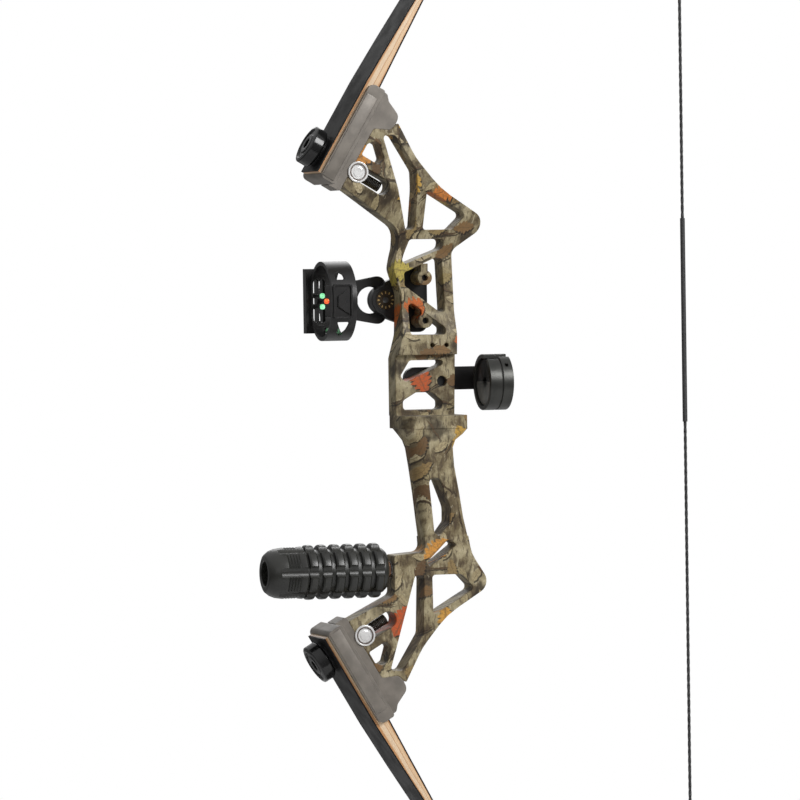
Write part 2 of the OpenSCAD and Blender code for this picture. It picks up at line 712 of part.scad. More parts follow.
module sight_mount_screws() {
    color([0.1, 0.1, 0.1]) for (i = [0, 1]) translate([0, 0, i * sight_spacing]) difference() {
        union() {
            cross_pin(sight_x, sight_low, sight_screw_r, section_near + 4, mount_far + 1);
            cross_pin(sight_x, sight_low, 4.2, mount_far, mount_far + 3.4);
        }
        translate([sight_x, mount_far + 6, sight_low]) rotate([90, 0, 0]) cylinder(r = 2, h = 4.6, $fn = 6);
    }
}

// Hollow pivot with the marked dial on its near end
module sight_pivot() {
    color([0.35, 0.30, 0.22]) difference() {
        union() {
            cross_pin(dial_x, ring_z, pivot_r, window_far, arm_far + 3.6);
            cross_pin(dial_x, ring_z, dial_r, window_far, window_far + 2.4);
        }
        cross_pin(dial_x, ring_z, 2.4, 0, far);
        for (a = [0:30:330]) translate([dial_x, window_far, ring_z]) rotate([0, a, 0])
            translate([dial_r - 2.8, -1, -0.4]) cube([2, 1.4, 0.8]);
    }
}

module sight_pivot_nut() {
    color([0.1, 0.1, 0.1]) difference() {
        translate([dial_x, arm_far + 3.5, ring_z]) rotate([90, 0, 0]) cylinder(r = 8, h = 3.2, $fn = 6);
        cross_pin(dial_x, ring_z, pivot_r, 0, far);
    }
}

module sight_arm() {
    half = sight_arm_h / 2;
    color([0.17, 0.17, 0.17]) difference() {
        union() {
            across(plate_t, arm_near + plate_t / 2) polygon(rounded([
                [arm_end, ring_z + half, 4], [-64, ring_z + half, 25],
                [dial_x + 3, ring_z + half + 4.5, 7], [dial_x + 3, ring_z - half - 4.5, 7],
                [-64, ring_z - half, 25], [arm_end, ring_z - half, 4]]));
            cross_pin(dial_x, ring_z, eye_r, arm_near, arm_far);
        }
        // D-shaped opening ahead of the eye
        difference() {
            cross_pin(-52.6, ring_z, 10.4, 0, far);
            cross_pin(dial_x, ring_z, eye_r, -1, far + 1);
        }
        cross_pin(dial_x, ring_z, pivot_r + run, 0, far);
        for (i = [-1, 1]) cross_pin(lift_x, ring_z + i * (lift_reach - lift_half), lift_half, 0, far);
        block([lift_x - lift_half, 0, ring_z - lift_reach + lift_half],
            [lift_x + lift_half, far, ring_z + lift_reach - lift_half]);
    }
}

carriage_near = mount_far - 4.1;
flange_x = -90.9;
flange_t = 2.4;
windage_y = 38.5;
windage_travel = 3;
windage_r = 1.75;
lug_h = 8;

// Forked carriage: its tongue fits the arm's slot and its flange carries the rack
module sight_carriage() {
    color([0.12, 0.12, 0.13]) difference() {
        union() {
            block([-81, carriage_near, ring_z - 12], [-70.5, mount_far, ring_z + 12]);
            block([lift_x - lift_half + 0.1, mount_far - 1, ring_z - 5.5],
                [lift_x + lift_half - 0.1, arm_far - 0.4, ring_z + 5.5]);
            for (s = [0, 1]) translate([0, 0, 20 * s])
                block([flange_x, carriage_near, ring_z - 12], [-80, mount_far, ring_z - 8]);
            block([flange_x, carriage_near, ring_z - 12], [flange_x + flange_t, 46, ring_z + 12]);
            for (z = [-lug_h - 1.8, lug_h + 0.1])
                block([flange_x - 2, 39.2, ring_z + z], [flange_x + 1, 46, ring_z + z + 1.7]);
        }
        cross_pin(lift_x, ring_z, 1.6 + run, 33.8, far);
        for (s = [-1, 1]) long_pin(windage_y + s * windage_travel, ring_z, windage_r + 0.1, -95, -88);
        block([-95, windage_y - windage_travel, ring_z - windage_r - 0.1],
            [-88, windage_y + windage_travel, ring_z + windage_r + 0.1]);
    }
}

module sight_elevation_knob() {
    top = arm_far + gap;
    color([0.14, 0.14, 0.14]) difference() {
        union() {
            cross_pin(lift_x, ring_z, 1.6, 34, top + 1);
            cross_pin(lift_x, ring_z, 7, top, top + 8);
        }
        for (a = [0:30:330]) translate([lift_x, 0, ring_z]) rotate([0, a, 0])
            cross_pin(7.8, 0, 1.5, top - 1, top + 9);
    }
}

module sight_windage_knob() {
    x = flange_x + flange_t + gap;
    color([0.4, 0.4, 0.4]) difference() {
        union() {
            long_pin(windage_y, ring_z, windage_r, flange_x - 2.3, x + 1);
            long_pin(windage_y, ring_z, 6.2, x, x + 3.4);
        }
        translate([x + 1.2, windage_y, ring_z]) rotate([0, 90, 0]) cylinder(r = 2.9, h = 5, $fn = 6);
    }
}

rack_x = -107.6;
rack_back = flange_x - gap;
rack_near = 27.2;
rack_w = 7.8;
column_x = [-100.2, -95.6];
column_r = 1.5;
ring_screw_x = -97.9;
ring_screw_h = 19.9;
ring_screw_r = 1.2;
column_reach = 17;
pin_step = 4.2;

// A round-ended upright slot across the bow
module column(x, r, y0, y1) {
    for (s = [-1, 1]) cross_pin(x, ring_z + s * (column_reach - r), r, y0, y1);
    block([x - r, y0, ring_z - column_reach + r], [x + r, y1, ring_z + column_reach - r]);
}

module sight_pin_rack() {
    color([0.15, 0.15, 0.16]) difference() {
        union() {
            block([rack_x, rack_near, ring_z - rack_h / 2],
                [rack_back, rack_near + rack_w, ring_z + rack_h / 2]);
            block([rack_back - 2.1, rack_near + rack_w - 1, ring_z - lug_h],
                [rack_back, 44, ring_z + lug_h]);
        }
        for (x = column_x) column(x, column_r, 0, far);
        long_pin(windage_y, ring_z, windage_r + run, rack_back - 2.2, rack_back + 1);
        for (s = [-1, 1]) cross_pin(ring_screw_x, ring_z + ring_screw_h * s, ring_screw_r + 0.1, 0, far);
    }
}

module sight_ring() {
    x1 = -ring_x + ring_depth;
    color([0.1, 0.1, 0.11]) difference() {
        union() {
            difference() {
                union() {
                    long_pin(0, ring_z, ring_r, -ring_x, x1);
                    across(6, -28.9) translate([0, ring_z]) polygon(rounded([
                        [-103.5, 13.2, 2], [-88.4, 13.2, 2], [-88.4, -13.2, 2], [-103.5, -13.2, 2]]));
                }
                long_pin(0, ring_z, ring_r - ring_wall, -ring_x - 1, x1 + 1);
                // Recess with the raised plate of the light port
                across(2, -31.6) translate([0, ring_z]) difference() {
                    polygon(rounded([[-102.3, 12, 1.5], [-89.6, 12, 1.5],
                        [-89.6, -12, 1.5], [-102.3, -12, 1.5]]));
                    polygon([[-99.8, 4], [-94.4, 7.6], [-90.6, 10],
                        [-90.6, -10], [-94.4, -7.6], [-99.8, -4]]);
                }
                cross_pin(-92.6, ring_z, 1.5, -40, -24);
                // Windows above and below the port
                across(30, -22) polygon(rounded([[-100.4, 136, 1], [-92.2, 136, 1], [-92.8, 139.4, 1.5],
                    [-96.4, 142, 2], [-99.8, 140.4, 1.5]]));
                across(30, -21) polygon(rounded([[-99.6, 103.4, 1], [-88.8, 103.4, 1], [-90.4, 97.6, 1.5],
                    [-95.4, 91.6, 1.5]]));
                block([-ring_x - 1, rack_near, ring_z - 30], [x1 + 1, far, ring_z + 30]);
            }
            block([-ring_x, rack_near - 2.8, ring_z - 12], [x1, rack_near, ring_z + 12]);
            for (s = [-1, 1])
                block([ring_screw_x - 3, 20.4, ring_z + ring_screw_h * s - 2.4],
                    [ring_screw_x + 3, rack_near, ring_z + ring_screw_h * s + 2.4]);
            block([-98, -6.5, ring_z - ring_r + 1.5], [-92, 6.5, level_z]);
        }
        for (x = column_x) column(x, column_r + 0.9, 8, far);
        for (s = [-1, 1]) cross_pin(ring_screw_x, ring_z + ring_screw_h * s, ring_screw_r, 20.5, far);
        cross_pin(-95, level_z, level_r, -20, 20);
    }
}

// Screws that hold the ring to the rack, and the one in the light port
module sight_ring_screws() {
    color("dimgray") {
        for (s = [-1, 1])
            cross_pin(ring_screw_x, ring_z + ring_screw_h * s, ring_screw_r,
                rack_near - 5, rack_near + rack_w - 0.4);
        cross_pin(-92.6, ring_z, 1.5, -32, -27.9);
    }
}

level_z = 96.3;
level_r = 2.6;
level_bore = 1.9;
level_half = 9.5;

module level_tube() {
    color([0.55, 0.9, 0.45]) difference() {
        cross_pin(-95, level_z, level_r, -level_half, level_half);
        cross_pin(-95, level_z, level_bore, -level_half + 1.2, level_half - 1.2);
    }
}

module level_bubble() {
    color([0.9, 0.98, 0.85]) cross_pin(-95, level_z, level_bore - run, -2.5, 2.5);
}

// A sight pin: a bar that leans forward to the tube for the fibre, a shank that
// slides in the rack and a collar on each side of it
module sight_pin(x, z, lean, c) {
    color(c) difference() {
        union() {
            translate([x, 26, z]) rotate([0, 0, -atan(lean / 26)])
                translate([-0.8, -norm([26, lean]) + 0.8, -0.8]) cube([1.6, norm([26, lean]), 1.6]);
            block([x - column_r + run, 25, z - 2], [x + column_r - run, 36, z + 2]);
            block([x - 2, 25.6, z - 1.9], [x + 2, rack_near - 0.1, z + 1.9]);
            block([x - 2, rack_near + rack_w + 0.1, z - 2], [x + 2, rack_near + rack_w + 1.3, z + 2]);
            long_pin(0, z, 1.5, x - lean - 1.3, x - lean + 1.3);
        }
        long_pin(0, z, 0.8, x - lean - 3, x - lean + 3);
    }
}

module fibre(x, z, c) {
    color(c) long_pin(0, z, 0.8, x - 1.6, x + 1.6);
}

lean_outer = 2.6;
lean_middle = 3.8;

module sight_pin_top() { sight_pin(column_x[0], ring_z + pin_step, lean_outer, [0.1, 0.1, 0.1]); }
module sight_pin_middle() { sight_pin(column_x[1], ring_z, lean_middle, [0.1, 0.1, 0.1]); }
module sight_pin_bottom() { sight_pin(column_x[0], ring_z - pin_step, lean_outer, [0.1, 0.1, 0.1]); }
module fibre_top() { fibre(column_x[0] - lean_outer, ring_z + pin_step, "limegreen"); }
module fibre_middle() { fibre(column_x[1] - lean_middle, ring_z, "red"); }
module fibre_bottom() { fibre(column_x[0] - lean_outer, ring_z - pin_step, "limegreen"); }

// Arrow rest. Its arm turns on the bolt in the plunger hole.
rest_arm_near = window_far + gap;
rest_arm_t = 5;
rest_arm_x = -28;
rest_z = 54.5;
rest_back = rest_x + rest_depth + gap;
rest_flange_t = 3.5;
clamp_y = 21;
clamp_z = 60;
clamp_r = 2.4;
clamp_travel = 3;
rest_bolt_r = 3.9;

module rest_arm() {
    z0 = rest_z + 3 - rest_arm_h / 2;
    z1 = z0 + rest_arm_h;
    x1 = rest_arm_x + rest_arm_len;
    color([0.05, 0.05, 0.05]) difference() {
        union() {
            across(rest_arm_t, rest_arm_near + rest_arm_t / 2) polygon(rounded([
                [rest_arm_x, z1, 8.5], [x1 + rest_flange_t, z1, 1],
                [x1 + rest_flange_t, z0, 1], [rest_arm_x, z0, 8.5]]));
            block([rest_back, 13.5, clamp_z - 9], [rest_back + rest_flange_t, rest_arm_near + 1, z1]);
        }
        cross_pin(plunger_x, plunger_z, rest_bolt_r + run, 0, far);
        for (s = [-1, 1])
            long_pin(clamp_y + s * clamp_travel, clamp_z, clamp_r + 0.1, rest_back - 1, rest_back + 9);
        block([rest_back - 1, clamp_y - clamp_travel, clamp_z - clamp_r - 0.1],
            [rest_back + 9, clamp_y + clamp_travel, clamp_z + clamp_r + 0.1]);
    }
}

module rest_mount_bolt() {
    top = rest_arm_near + rest_arm_t + gap;
    color([0.1, 0.1, 0.1]) difference() {
        union() {
            cross_pin(plunger_x, plunger_z, rest_bolt_r, window_past + 4, top + 1);
            cross_pin(plunger_x, plunger_z, 6.5, top, top + 5);
        }
        translate([plunger_x, top + 8, plunger_z]) rotate([90, 0, 0]) cylinder(r = 3.2, h = 6, $fn = 6);
    }
}

module rest_ring() {
    x1 = rest_x + rest_depth;
    color([0.18, 0.18, 0.17]) difference() {
        union() {
            difference() {
                union() {
                    long_pin(0, rest_z, rest_r, rest_x, x1);
                    block([x1 - 13, 8, clamp_z - 5], [x1, rest_arm_near - 3.5, clamp_z + 5]);
                }
                long_pin(0, rest_z, rest_r - rest_wall, rest_x - 1, x1 + 1);
                // Groove between the two bands
                difference() {
                    long_pin(0, rest_z, rest_r + 9, rest_x + 9.6, rest_x + 10.6);
                    long_pin(0, rest_z, rest_r - 0.9, rest_x, x1);
                    block([rest_x, 10, clamp_z - 6], [x1, 40, clamp_z + 6]);
                }
            }
        }
        // Loading gap at the top
        block([rest_x - 1, -12, rest_z + 10], [rest_x + 10.1, -3, rest_z + 30]);
        block([rest_x + 10, -9, rest_z + 10], [x1 + 1, -3, rest_z + 30]);
        long_pin(clamp_y, clamp_z, clamp_r, x1 - 10, x1 + 5);
        translate([x1 - 4.6, 0, rest_z]) rotate([52, 0, 0]) translate([0, 0, rest_r - 2.6])
            cylinder(r = 1.4, h = 5);
    }
}

brush_rows = 4;
brush_n = 40;
brush_out = rest_r - rest_wall - run;

// One row of strands from the backing towards the hole, as [y, z]
module strand_row(a0, shift) {
    base = brush_out - 0.8;
    polygon([for (i = [0:brush_n - 1])
        let (t = a0 + 180 * (i + 0.5) / brush_n + shift,
             r = brush_hole_r + 0.7 + 0.6 * sin(t * 7 + shift * 90),
             w = 14 / base, v = 0.1 * 57.3 / r)
        each [base * dir(t - w), r * dir(t - v), r * dir(t + v), base * dir(t + w)],
        for (i = [0:20]) (base + 0.3) * dir(a0 + 177 - 174 * i / 20)]);
}

// The brush is parted on the level through the middle of the ring
module rest_brush(a0, c) {
    color(c) translate([rest_x + 2, 0, rest_z]) rotate([90, 0, 90]) {
        for (k = [0:brush_rows - 1]) translate([0, 0, 1 + 1.8 * k])
            linear_extrude(0.5) strand_row(a0, k % 2 == 0 ? 0 : 1.1);
        linear_extrude(8) intersection() {
            difference() {
                circle(brush_out);
                circle(brush_out - 0.9);
            }
            rotate(a0) polygon([[0, 0.6], [30, 0.6], [30, 30], [-30, 30], [-30, 0.6]]);
        }
    }
}

module rest_brush_upper() { rest_brush(0, [0.04, 0.04, 0.04]); }
module rest_brush_lower() { rest_brush(180, [0.45, 0.45, 0.44]); }

// Clamp knob with its stud, which is fixed in the ring's lug
module rest_clamp_stud() {
    color("silver") long_pin(clamp_y, clamp_z, clamp_r, rest_back - 10, rest_back + rest_flange_t + 9.5);
}

module rest_clamp_knob() {
    x = rest_back + rest_flange_t + gap;
    color([0.06, 0.06, 0.06]) difference() {
        long_pin(clamp_y, clamp_z, 8, x, x + 7);
        long_pin(clamp_y, clamp_z, clamp_r + run, x - 1, x + 9);
        for (a = [0:45:315])
            translate([0, clamp_y, clamp_z]) rotate([a, 0, 0]) long_pin(9, 0, 2, x - 1, x + 9);
    }
}

// Stabiliser, drawn from its nose at t = 0 to its rear at stab_len
nose_x = -153;
stab_len = 97;
core_r = 7;
cap_r = 20.4;
first_rib = 36.2;
core_end = stab_len + 0.6;

body_line = [
    [core_r, socket_depth, 0], [socket_r, socket_depth, 0], [socket_r, 0, 1.2], [13.8, 0, 3],
    [19.4, 7.5, 9], [cap_r, nose_len - 9, 8], [cap_r, nose_len + 4, 1.2], [valley_r, nose_len + 5, 0],
    [valley_r, stab_len - 4, 1], [12, stab_len, 2], [core_r, stab_len, 0]];

module stabiliser_body() {
    color([0.12, 0.12, 0.11]) difference() {
        translate([nose_x, 0, stab_z]) rotate([0, 90, 0]) union() {
            rotate_extrude() polygon(rounded(body_line));
            for (k = [0:rib_count - 1]) translate([0, 0, first_rib + rib_pitch * k])
                rotate_extrude() translate([rib_r - rib_half, 0]) circle(r = rib_half);
        }
        for (k = [0:flute_count - 1]) translate([nose_x, 0, stab_z])
            rotate([13.6 + 360 * k / flute_count, 0, 0]) union() {
                long_pin(-flute_out, 0, flute_r, 14, stab_len + 1);
                translate([14, -flute_out, 0]) sphere(r = flute_r);
            }
    }
}

rib_half = 3.1;
flute_r = 3.1;
flute_out = 21.6;
socket_hole = 14;

module stabiliser_core() {
    color("silver") difference() {
        long_pin(0, stab_z, core_r, nose_x + socket_depth, nose_x + core_end);
        long_pin(0, stab_z, stud_r, nose_x + socket_depth - 1, nose_x + socket_depth + socket_hole);
        long_pin(0, stab_z, stud_r, nose_x + core_end - 18, nose_x + core_end + 1);
    }
}

module stabiliser_stud() {
    color("silver") long_pin(0, stab_z, stud_r, nose_x + core_end - 17, boss_face + bushing_len - 2);
}

module stabiliser_jam_nut() {
    color("peru") difference() {
        translate([nose_x + core_end, 0, stab_z]) rotate([0, 90, 0]) cylinder(r = 6.6, h = 3.2, $fn = 6);
        long_pin(0, stab_z, stud_r, -60, -40);
    }
}

module stabiliser_washer() {
    color("silver") difference() {
        long_pin(0, stab_z, 6.6, boss_face - 1.1, boss_face - 0.1);
        long_pin(0, stab_z, stud_r + run, -60, -40);
    }
}

riser();
stabiliser_bushing();
upper_pocket();
lower_pocket();
upper_pocket_screws();
lower_pocket_screws();
upper_barrel_nut();
lower_barrel_nut();
upper_locating_pin();
lower_locating_pin();
upper_limb_bolt();
lower_limb_bolt();
upper_bolt_knob();
lower_bolt_knob();
upper_bolt_washer();
lower_bolt_washer();
upper_limb_core();
lower_limb_core();
upper_limb_back();
lower_limb_back();
upper_limb_belly();
lower_limb_belly();
upper_tip_overlay();
lower_tip_overlay();
bowstring();
centre_serving();
upper_string_loop();
lower_string_loop();
sight_mount_plate();
sight_mount_screws();
sight_pivot();
sight_pivot_nut();
sight_arm();
sight_carriage();
sight_elevation_knob();
sight_windage_knob();
sight_pin_rack();
sight_ring();
sight_ring_screws();
level_tube();
level_bubble();
sight_pin_top();
sight_pin_middle();
sight_pin_bottom();
fibre_top();
fibre_middle();
fibre_bottom();
rest_arm();
rest_mount_bolt();
rest_ring();
rest_brush_upper();
rest_brush_lower();
rest_clamp_stud();
rest_clamp_knob();
stabiliser_body();
stabiliser_core();
stabiliser_stud();
stabiliser_jam_nut();
stabiliser_washer();
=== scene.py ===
"""Looks for a take-down recurve bow with a pin sight, a brush rest and a stabiliser.

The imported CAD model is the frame: rigid nodes whose shape is right keep it and get a
finish, and the rest are stood for by pieces made here with softened edges, bristles,
strands, flutes and grain. Sizes in the classes are millimetres unless they say metres.
"""

import json
import logging
import math
import random
from dataclasses import dataclass, field
from enum import Enum
from typing import Any, Callable, Sequence

import bmesh
import bpy
from mathutils import Matrix, Vector
from mathutils.bvhtree import BVHTree


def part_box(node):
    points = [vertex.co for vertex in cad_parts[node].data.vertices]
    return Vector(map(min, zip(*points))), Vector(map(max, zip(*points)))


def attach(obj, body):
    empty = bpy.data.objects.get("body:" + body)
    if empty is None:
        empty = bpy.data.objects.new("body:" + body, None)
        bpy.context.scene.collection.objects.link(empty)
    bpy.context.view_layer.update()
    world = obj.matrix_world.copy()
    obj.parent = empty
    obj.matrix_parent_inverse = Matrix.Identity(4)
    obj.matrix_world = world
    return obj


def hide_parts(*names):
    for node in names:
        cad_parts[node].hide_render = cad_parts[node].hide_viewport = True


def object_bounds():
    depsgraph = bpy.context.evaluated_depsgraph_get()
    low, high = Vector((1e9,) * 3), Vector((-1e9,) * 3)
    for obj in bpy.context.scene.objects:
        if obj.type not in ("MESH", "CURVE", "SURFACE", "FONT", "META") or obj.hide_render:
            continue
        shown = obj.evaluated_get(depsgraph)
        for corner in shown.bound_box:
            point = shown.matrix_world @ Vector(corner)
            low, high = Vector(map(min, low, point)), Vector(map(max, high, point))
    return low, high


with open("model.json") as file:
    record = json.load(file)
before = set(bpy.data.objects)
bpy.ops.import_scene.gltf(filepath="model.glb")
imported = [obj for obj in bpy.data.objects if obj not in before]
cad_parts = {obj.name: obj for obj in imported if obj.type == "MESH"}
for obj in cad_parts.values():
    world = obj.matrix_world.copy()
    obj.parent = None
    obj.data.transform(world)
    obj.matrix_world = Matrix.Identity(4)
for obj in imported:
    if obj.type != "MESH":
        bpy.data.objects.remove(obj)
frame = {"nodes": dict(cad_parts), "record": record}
CAD_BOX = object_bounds()

log = logging.getLogger("bow")
MM = 0.001
FULL_TURN = 2 * math.pi
NUMBER = "NodeSocketFloat"
VECTOR = "NodeSocketVector"
Triple = tuple[float, float, float]
Colour = Triple
Stops = Sequence[tuple[float, Colour]]
Socket = bpy.types.NodeSocket


class Body(Enum):
    """CAD bodies that the pieces made here ride on."""

    BOW = "bow"
    UPPER_BOLT = "upper_bolt"
    LOWER_BOLT = "lower_bolt"
    SIGHT_ARM = "sight_arm"
    ELEVATION_KNOB = "elevation_knob"
    WINDAGE_KNOB = "windage_knob"
    REST_HEAD = "rest_head"
    REST_KNOB = "rest_knob"
    STABILISER = "stabiliser"
    PIN_TOP = "pin_top"
    PIN_MIDDLE = "pin_middle"
    PIN_BOTTOM = "pin_bottom"


class End(Enum):
    """The two ends of the bow, which mirror each other about a level plane."""

    UPPER = "upper"
    LOWER = "lower"

    @property
    def side(self) -> int:
        """Plus one above the mirror plane and minus one below it."""
        return 1 if self is End.UPPER else -1

    @property
    def bolt(self) -> Body:
        """The body of this end's limb bolt."""
        return Body.UPPER_BOLT if self is End.UPPER else Body.LOWER_BOLT


# Shading


class Graph:
    """Short hand for wiring one node tree."""

    def __init__(self, tree: bpy.types.NodeTree) -> None:
        """Takes the tree that the nodes go into."""
        self.tree = tree

    def feed(self, socket: Socket, value: Any) -> None:
        """Links a socket to value, or sets its default.

        Args:
            socket: the input to feed.
            value: another socket, a number, a vector or a colour.
        """
        if isinstance(value, bpy.types.NodeSocket):
            self.tree.links.new(value, socket)
        elif isinstance(value, tuple) and socket.type == "RGBA" and len(value) == 3:
            socket.default_value = (*value, 1.0)
        else:
            socket.default_value = value

    def node(self, kind: str, inputs: dict | None = None, **settings: Any) -> bpy.types.Node:
        """Adds a node.

        Args:
            kind: the node's type name.
            inputs: values or sockets by input name or index.
            settings: properties of the node.

        Returns:
            The node.
        """
        made = self.tree.nodes.new(kind)
        for name, value in settings.items():
            setattr(made, name, value)
        for name, value in (inputs or {}).items():
            self.feed(made.inputs[name], value)
        return made

    def maths(self, operation: str, *values: Any, clamp: bool = False) -> Socket:
        """The result of a Math node with these inputs."""
        made = self.node("ShaderNodeMath", operation=operation, use_clamp=clamp)
        for socket, value in zip(made.inputs, values):
            self.feed(socket, value)
        return made.outputs[0]

    def vector(self, operation: str, *values: Any) -> Socket:
        """The vector result of a Vector Math node with these inputs."""
        made = self.node("ShaderNodeVectorMath", operation=operation)
        for socket, value in zip(made.inputs, values):
            self.feed(socket, value)
        return made.outputs[0]

    def scaled(self, value: Any, factor: Any) -> Socket:
        """A vector times a number."""
        made = self.node("ShaderNodeVectorMath", {0: value, "Scale": factor}, operation="SCALE")
        return made.outputs[0]

    def dot(self, first: Any, second: Any) -> Socket:
        """The dot product of two vectors."""
        made = self.node("ShaderNodeVectorMath", {0: first, 1: second}, operation="DOT_PRODUCT")
        return made.outputs["Value"]

    def split(self, vector: Any) -> Sequence[Socket]:
        """The three parts of a vector."""
        return self.node("ShaderNodeSeparateXYZ", {"Vector": vector}).outputs

    def flat(self, x: Any, y: Any) -> Socket:
        """A vector of two parts and a zero."""
        return self.node("ShaderNodeCombineXYZ", {"X": x, "Y": y, "Z": 0.0}).outputs[0]

    def mix(self, factor: Any, first: Any, second: Any, mode: str = "MIX") -> Socket:
        """A mix of two colours.

        Args:
            factor: the share of the second colour.
            first: the first colour.
            second: the second colour.
            mode: how they blend.

        Returns:
            The mixed colour.
        """
        made = self.node("ShaderNodeMix", data_type="RGBA", blend_type=mode)
        for index, value in zip((0, 6, 7), (factor, first, second)):
            self.feed(made.inputs[index], value)
        return made.outputs[2]

    def band(self, value: Any, low: float, high: float, start: float = 0.0, end: float = 1.0) -> Socket:
        """Value mapped smoothly from low..high to start..end, and held there outside."""
        return self.node(
            "ShaderNodeMapRange",
            {"Value": value, "From Min": low, "From Max": high, "To Min": start, "To Max": end},
            interpolation_type="SMOOTHSTEP",
        ).outputs[0]

    def noise(self, vector: Any, scale: Any, detail: float = 3.0, rough: float = 0.5) -> Socket:
        """The factor of a noise at these coordinates."""
        return self.node(
            "ShaderNodeTexNoise",
            {"Vector": vector, "Scale": scale, "Detail": detail, "Roughness": rough},
        ).outputs["Fac"]

    def ridge(self, turns: Any) -> Socket:
        """Rises from zero to one in the middle of each turn, and falls back."""
        doubled = self.maths("MULTIPLY", self.maths("FRACT", turns), 2.0)
        return self.maths("SUBTRACT", 1.0, self.maths("ABSOLUTE", self.maths("SUBTRACT", doubled, 1.0)))

    def ramp(self, value: Any, stops: Stops) -> Socket:
        """A colour from a ramp.

        Args:
            value: the place on the ramp, from 0 to 1.
            stops: places and colours, in order.

        Returns:
            The colour.
        """
        made = self.node("ShaderNodeValToRGB", {"Fac": value})
        bar = made.color_ramp.elements
        while len(bar) < len(stops):
            bar.new(0.5)
        for element, (place, colour) in zip(bar, stops):
            element.position = place
            element.color = (*colour, 1.0)
        return made.outputs["Color"]

    def group(self, tree: bpy.types.NodeTree, inputs: dict[str, Any]) -> bpy.types.Node:
        """Places a node group in this tree, with these inputs."""
        made = self.node("ShaderNodeGroup", node_tree=tree)
        for name, value in inputs.items():
            self.feed(made.inputs[name], value)
        return made

    def relief(
        self, shader: bpy.types.Node, height: Any, strength: float, depth: float, **normal: Any
    ) -> None:
        """Gives a shader a bump.

        Args:
            shader: the shader.
            height: the height of the bump.
            strength: the bump's strength.
            depth: its depth, in millimetres.
            normal: the normal that the bump starts from, as Normal, if not the mesh's own.
        """
        bump = self.node(
            "ShaderNodeBump", {"Strength": strength, "Distance": depth * MM, "Height": height, **normal}
        )
        self.feed(shader.inputs["Normal"], bump.outputs[0])


Wiring = Callable[[Graph, Any], dict[str, Socket]]


